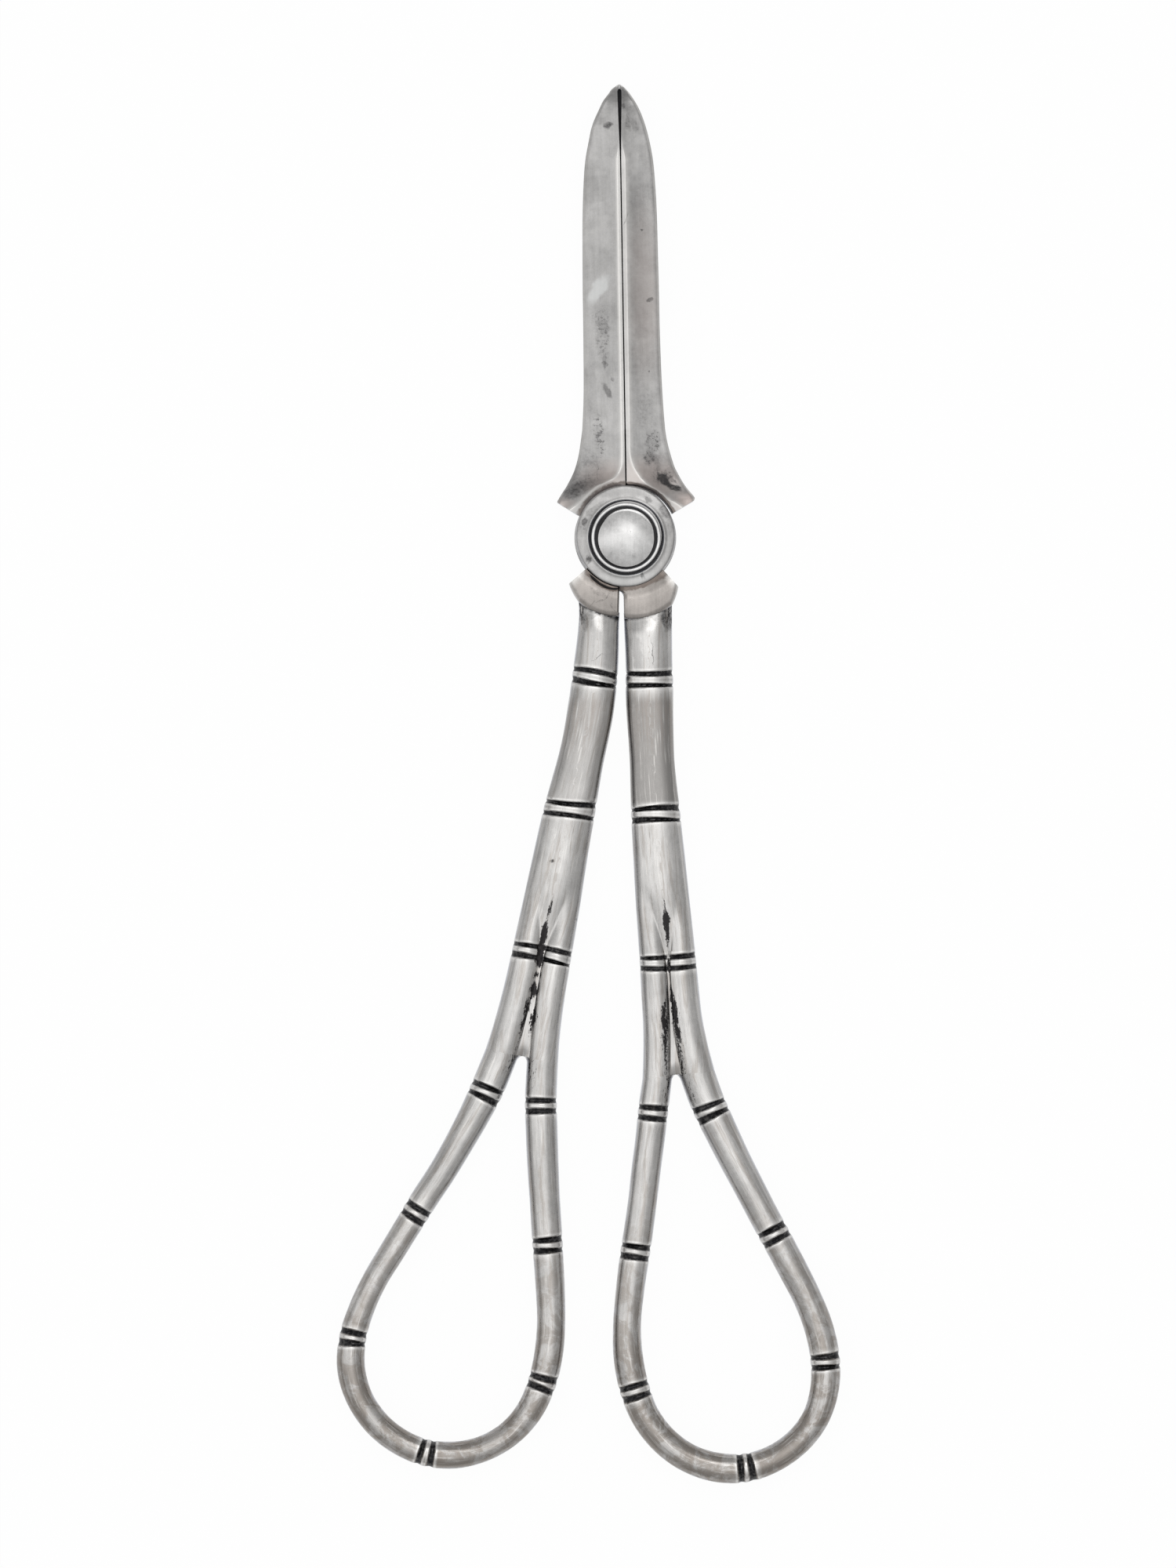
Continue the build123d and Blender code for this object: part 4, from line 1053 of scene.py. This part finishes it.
profile = [(2.06, 3.86), (4.34, 3.86), (4.42, 3.92), (4.42, 4.5)]
profile += [*arc(4.25, 4.52, 0.17, 0, 90, 6), *arc(4.16, 4.52, 0.17, 90, 180, 6)]
profile += [(3.98, 4.45), (3.97, 4.14), (3.4, 4.13), (2.06, 4.12)]
shell = Shell().revolve(profile, lambda r, z: CUP_SHIFT if r > 3.5 else STILL)
cup = shell.build("cup_washer_visual", 50)


# Materials and bodies
for piece, node, body, slot, *materials in (
    (front_blade, "front_blade", "front_arm", "blade_silver", front_silver, tarnish_and_shadow),
    (back_blade, "back_blade", "back_arm", "blade_silver", back_silver, tarnish_and_shadow),
    (front_bolster, "front_bolster", "front_arm", "bolster_silver", bolster_silver),
    (back_bolster, "back_bolster", "back_arm", "bolster_silver", bolster_silver),
    (front_handle, "front_handle", "front_arm", "handle_silver", front_cane),
    (back_handle, "back_handle", "back_arm", "handle_silver", back_cane),
    (stud, "pivot_stud", "back_arm", "pivot_silver", pivot_silver),
    (cup, "cup_washer", "front_arm", "pivot_silver", pivot_silver, tarnish_and_shadow),
):
    for material in materials:
        piece.data.materials.append(material)
    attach(piece, body)
    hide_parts(node)

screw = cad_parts["pivot_screw"]
screw.data.materials.clear()
screw.data.materials.append(screw_steel)


def give_tarnish_and_shadow(piece, dark):
    """Give the second material to the faces whose centre, in millimetres, and normal pass a test."""
    for face in piece.data.polygons:
        if dark(*[part / MM for part in face.center], face.normal):
            face.material_index = 1


def in_seam(out, y, z, normal):
    """The walls that meet in the seam, and the ledge."""
    wall = y > 6.3 and out < 0.45 and abs(normal.z) < 0.3 and abs(normal.x) > 0.8
    return wall or (out < 0.2 and z < 1.8 and y > 6.4)


# The near-black second material is tarnish with painted shadow in the gaps round the cup, and painted shadow on
# the seam walls and ledge
give_tarnish_and_shadow(front_blade, lambda x, y, z, n: 4 < apart(BORE_SHIFT, (x, y)) < 4.79 and z < 4.4)
give_tarnish_and_shadow(cup, lambda x, y, z, n: not 3.99 <= apart(CUP_SHIFT, (x, y)) <= 4.4 and z < 4.5)
give_tarnish_and_shadow(front_blade, lambda x, y, z, n: in_seam(-x, y, z, n))
give_tarnish_and_shadow(back_blade, in_seam)

# Floor: white for rays from the camera, gloss and glass, and paper for the rest
mesh = bpy.data.meshes.new("floor")
corners = [(x, y, -0.0004) for x, y in ((-3, -3), (3, -3), (3, 3), (-3, 3))]
mesh.from_pydata(corners, [], [(0, 1, 2, 3)])
floor = place_object("floor", mesh)
paper = bpy.data.materials.new("floor_paper")
net = Net(paper)
ground = net.add("BsdfDiffuse", (0.86, 0.86, 0.86, 1))[0]
glow = net.add("Emission", (1, 1, 1, 1), 1)[0]
rays = net.add("LightPath")
seen = net.math("ADD", rays["Is Camera Ray"], rays["Is Glossy Ray"], rays["Is Transmission Ray"], clamp=True)
mixed = net.add("MixShader", net.times(seen, 0.96), ground, glow)[0]
net.add("OutputMaterial", mixed)
mesh.materials.append(paper)

# Studio: a pale sky, brighter overhead and to the left
world = bpy.data.worlds.new("studio")
bpy.context.scene.world = world
net = Net(world)
parts = net.add("SeparateXYZ", net.add("TexCoord")["Generated"])
height = net.math("MAXIMUM", parts["Z"], 0)
overhead = net.times(net.math("POWER", height, 11), 0.95)
level = net.plus(net.times(height, 0.16), 0.6, overhead, net.times(parts["X"], -0.05))
sky = net.add("Background", (1, 1, 1, 1), level)[0]
net.add("OutputWorld", sky)

# Soft area lights, each aimed at a point, in metres and watts
for name, place, target, width, height, power in (
    ("key", (0.1, 0.4, 0.9), (0, -0.02, 0), 0.42, 0.42, 0.78),
    ("side_left", (-0.7, -0.05, 0.7), (0, -0.03, 0), 0.4, 0.9, 0.64),
):
    data = bpy.data.lights.new(name, "AREA")
    data.shape, data.size, data.size_y, data.energy = "RECTANGLE", width, height, power
    light = place_object(name, data)
    light.location = place
    light.rotation_euler = (Vector(target) - Vector(place)).to_track_quat("-Z", "Y").to_euler()

# Camera: straight above, turned with the photo
data = bpy.data.cameras.new("camera")
data.sensor_fit = "VERTICAL"
data.sensor_height = 24
data.lens = 108
data.clip_start = 0.01
camera = place_object("camera", data)
camera.location = (-0.00548, -0.03151, 0.902)
camera.rotation_euler = (0, 0, radians(-0.96))
bpy.context.scene.camera = camera
bpy.context.scene.view_settings.view_transform = "Standard"
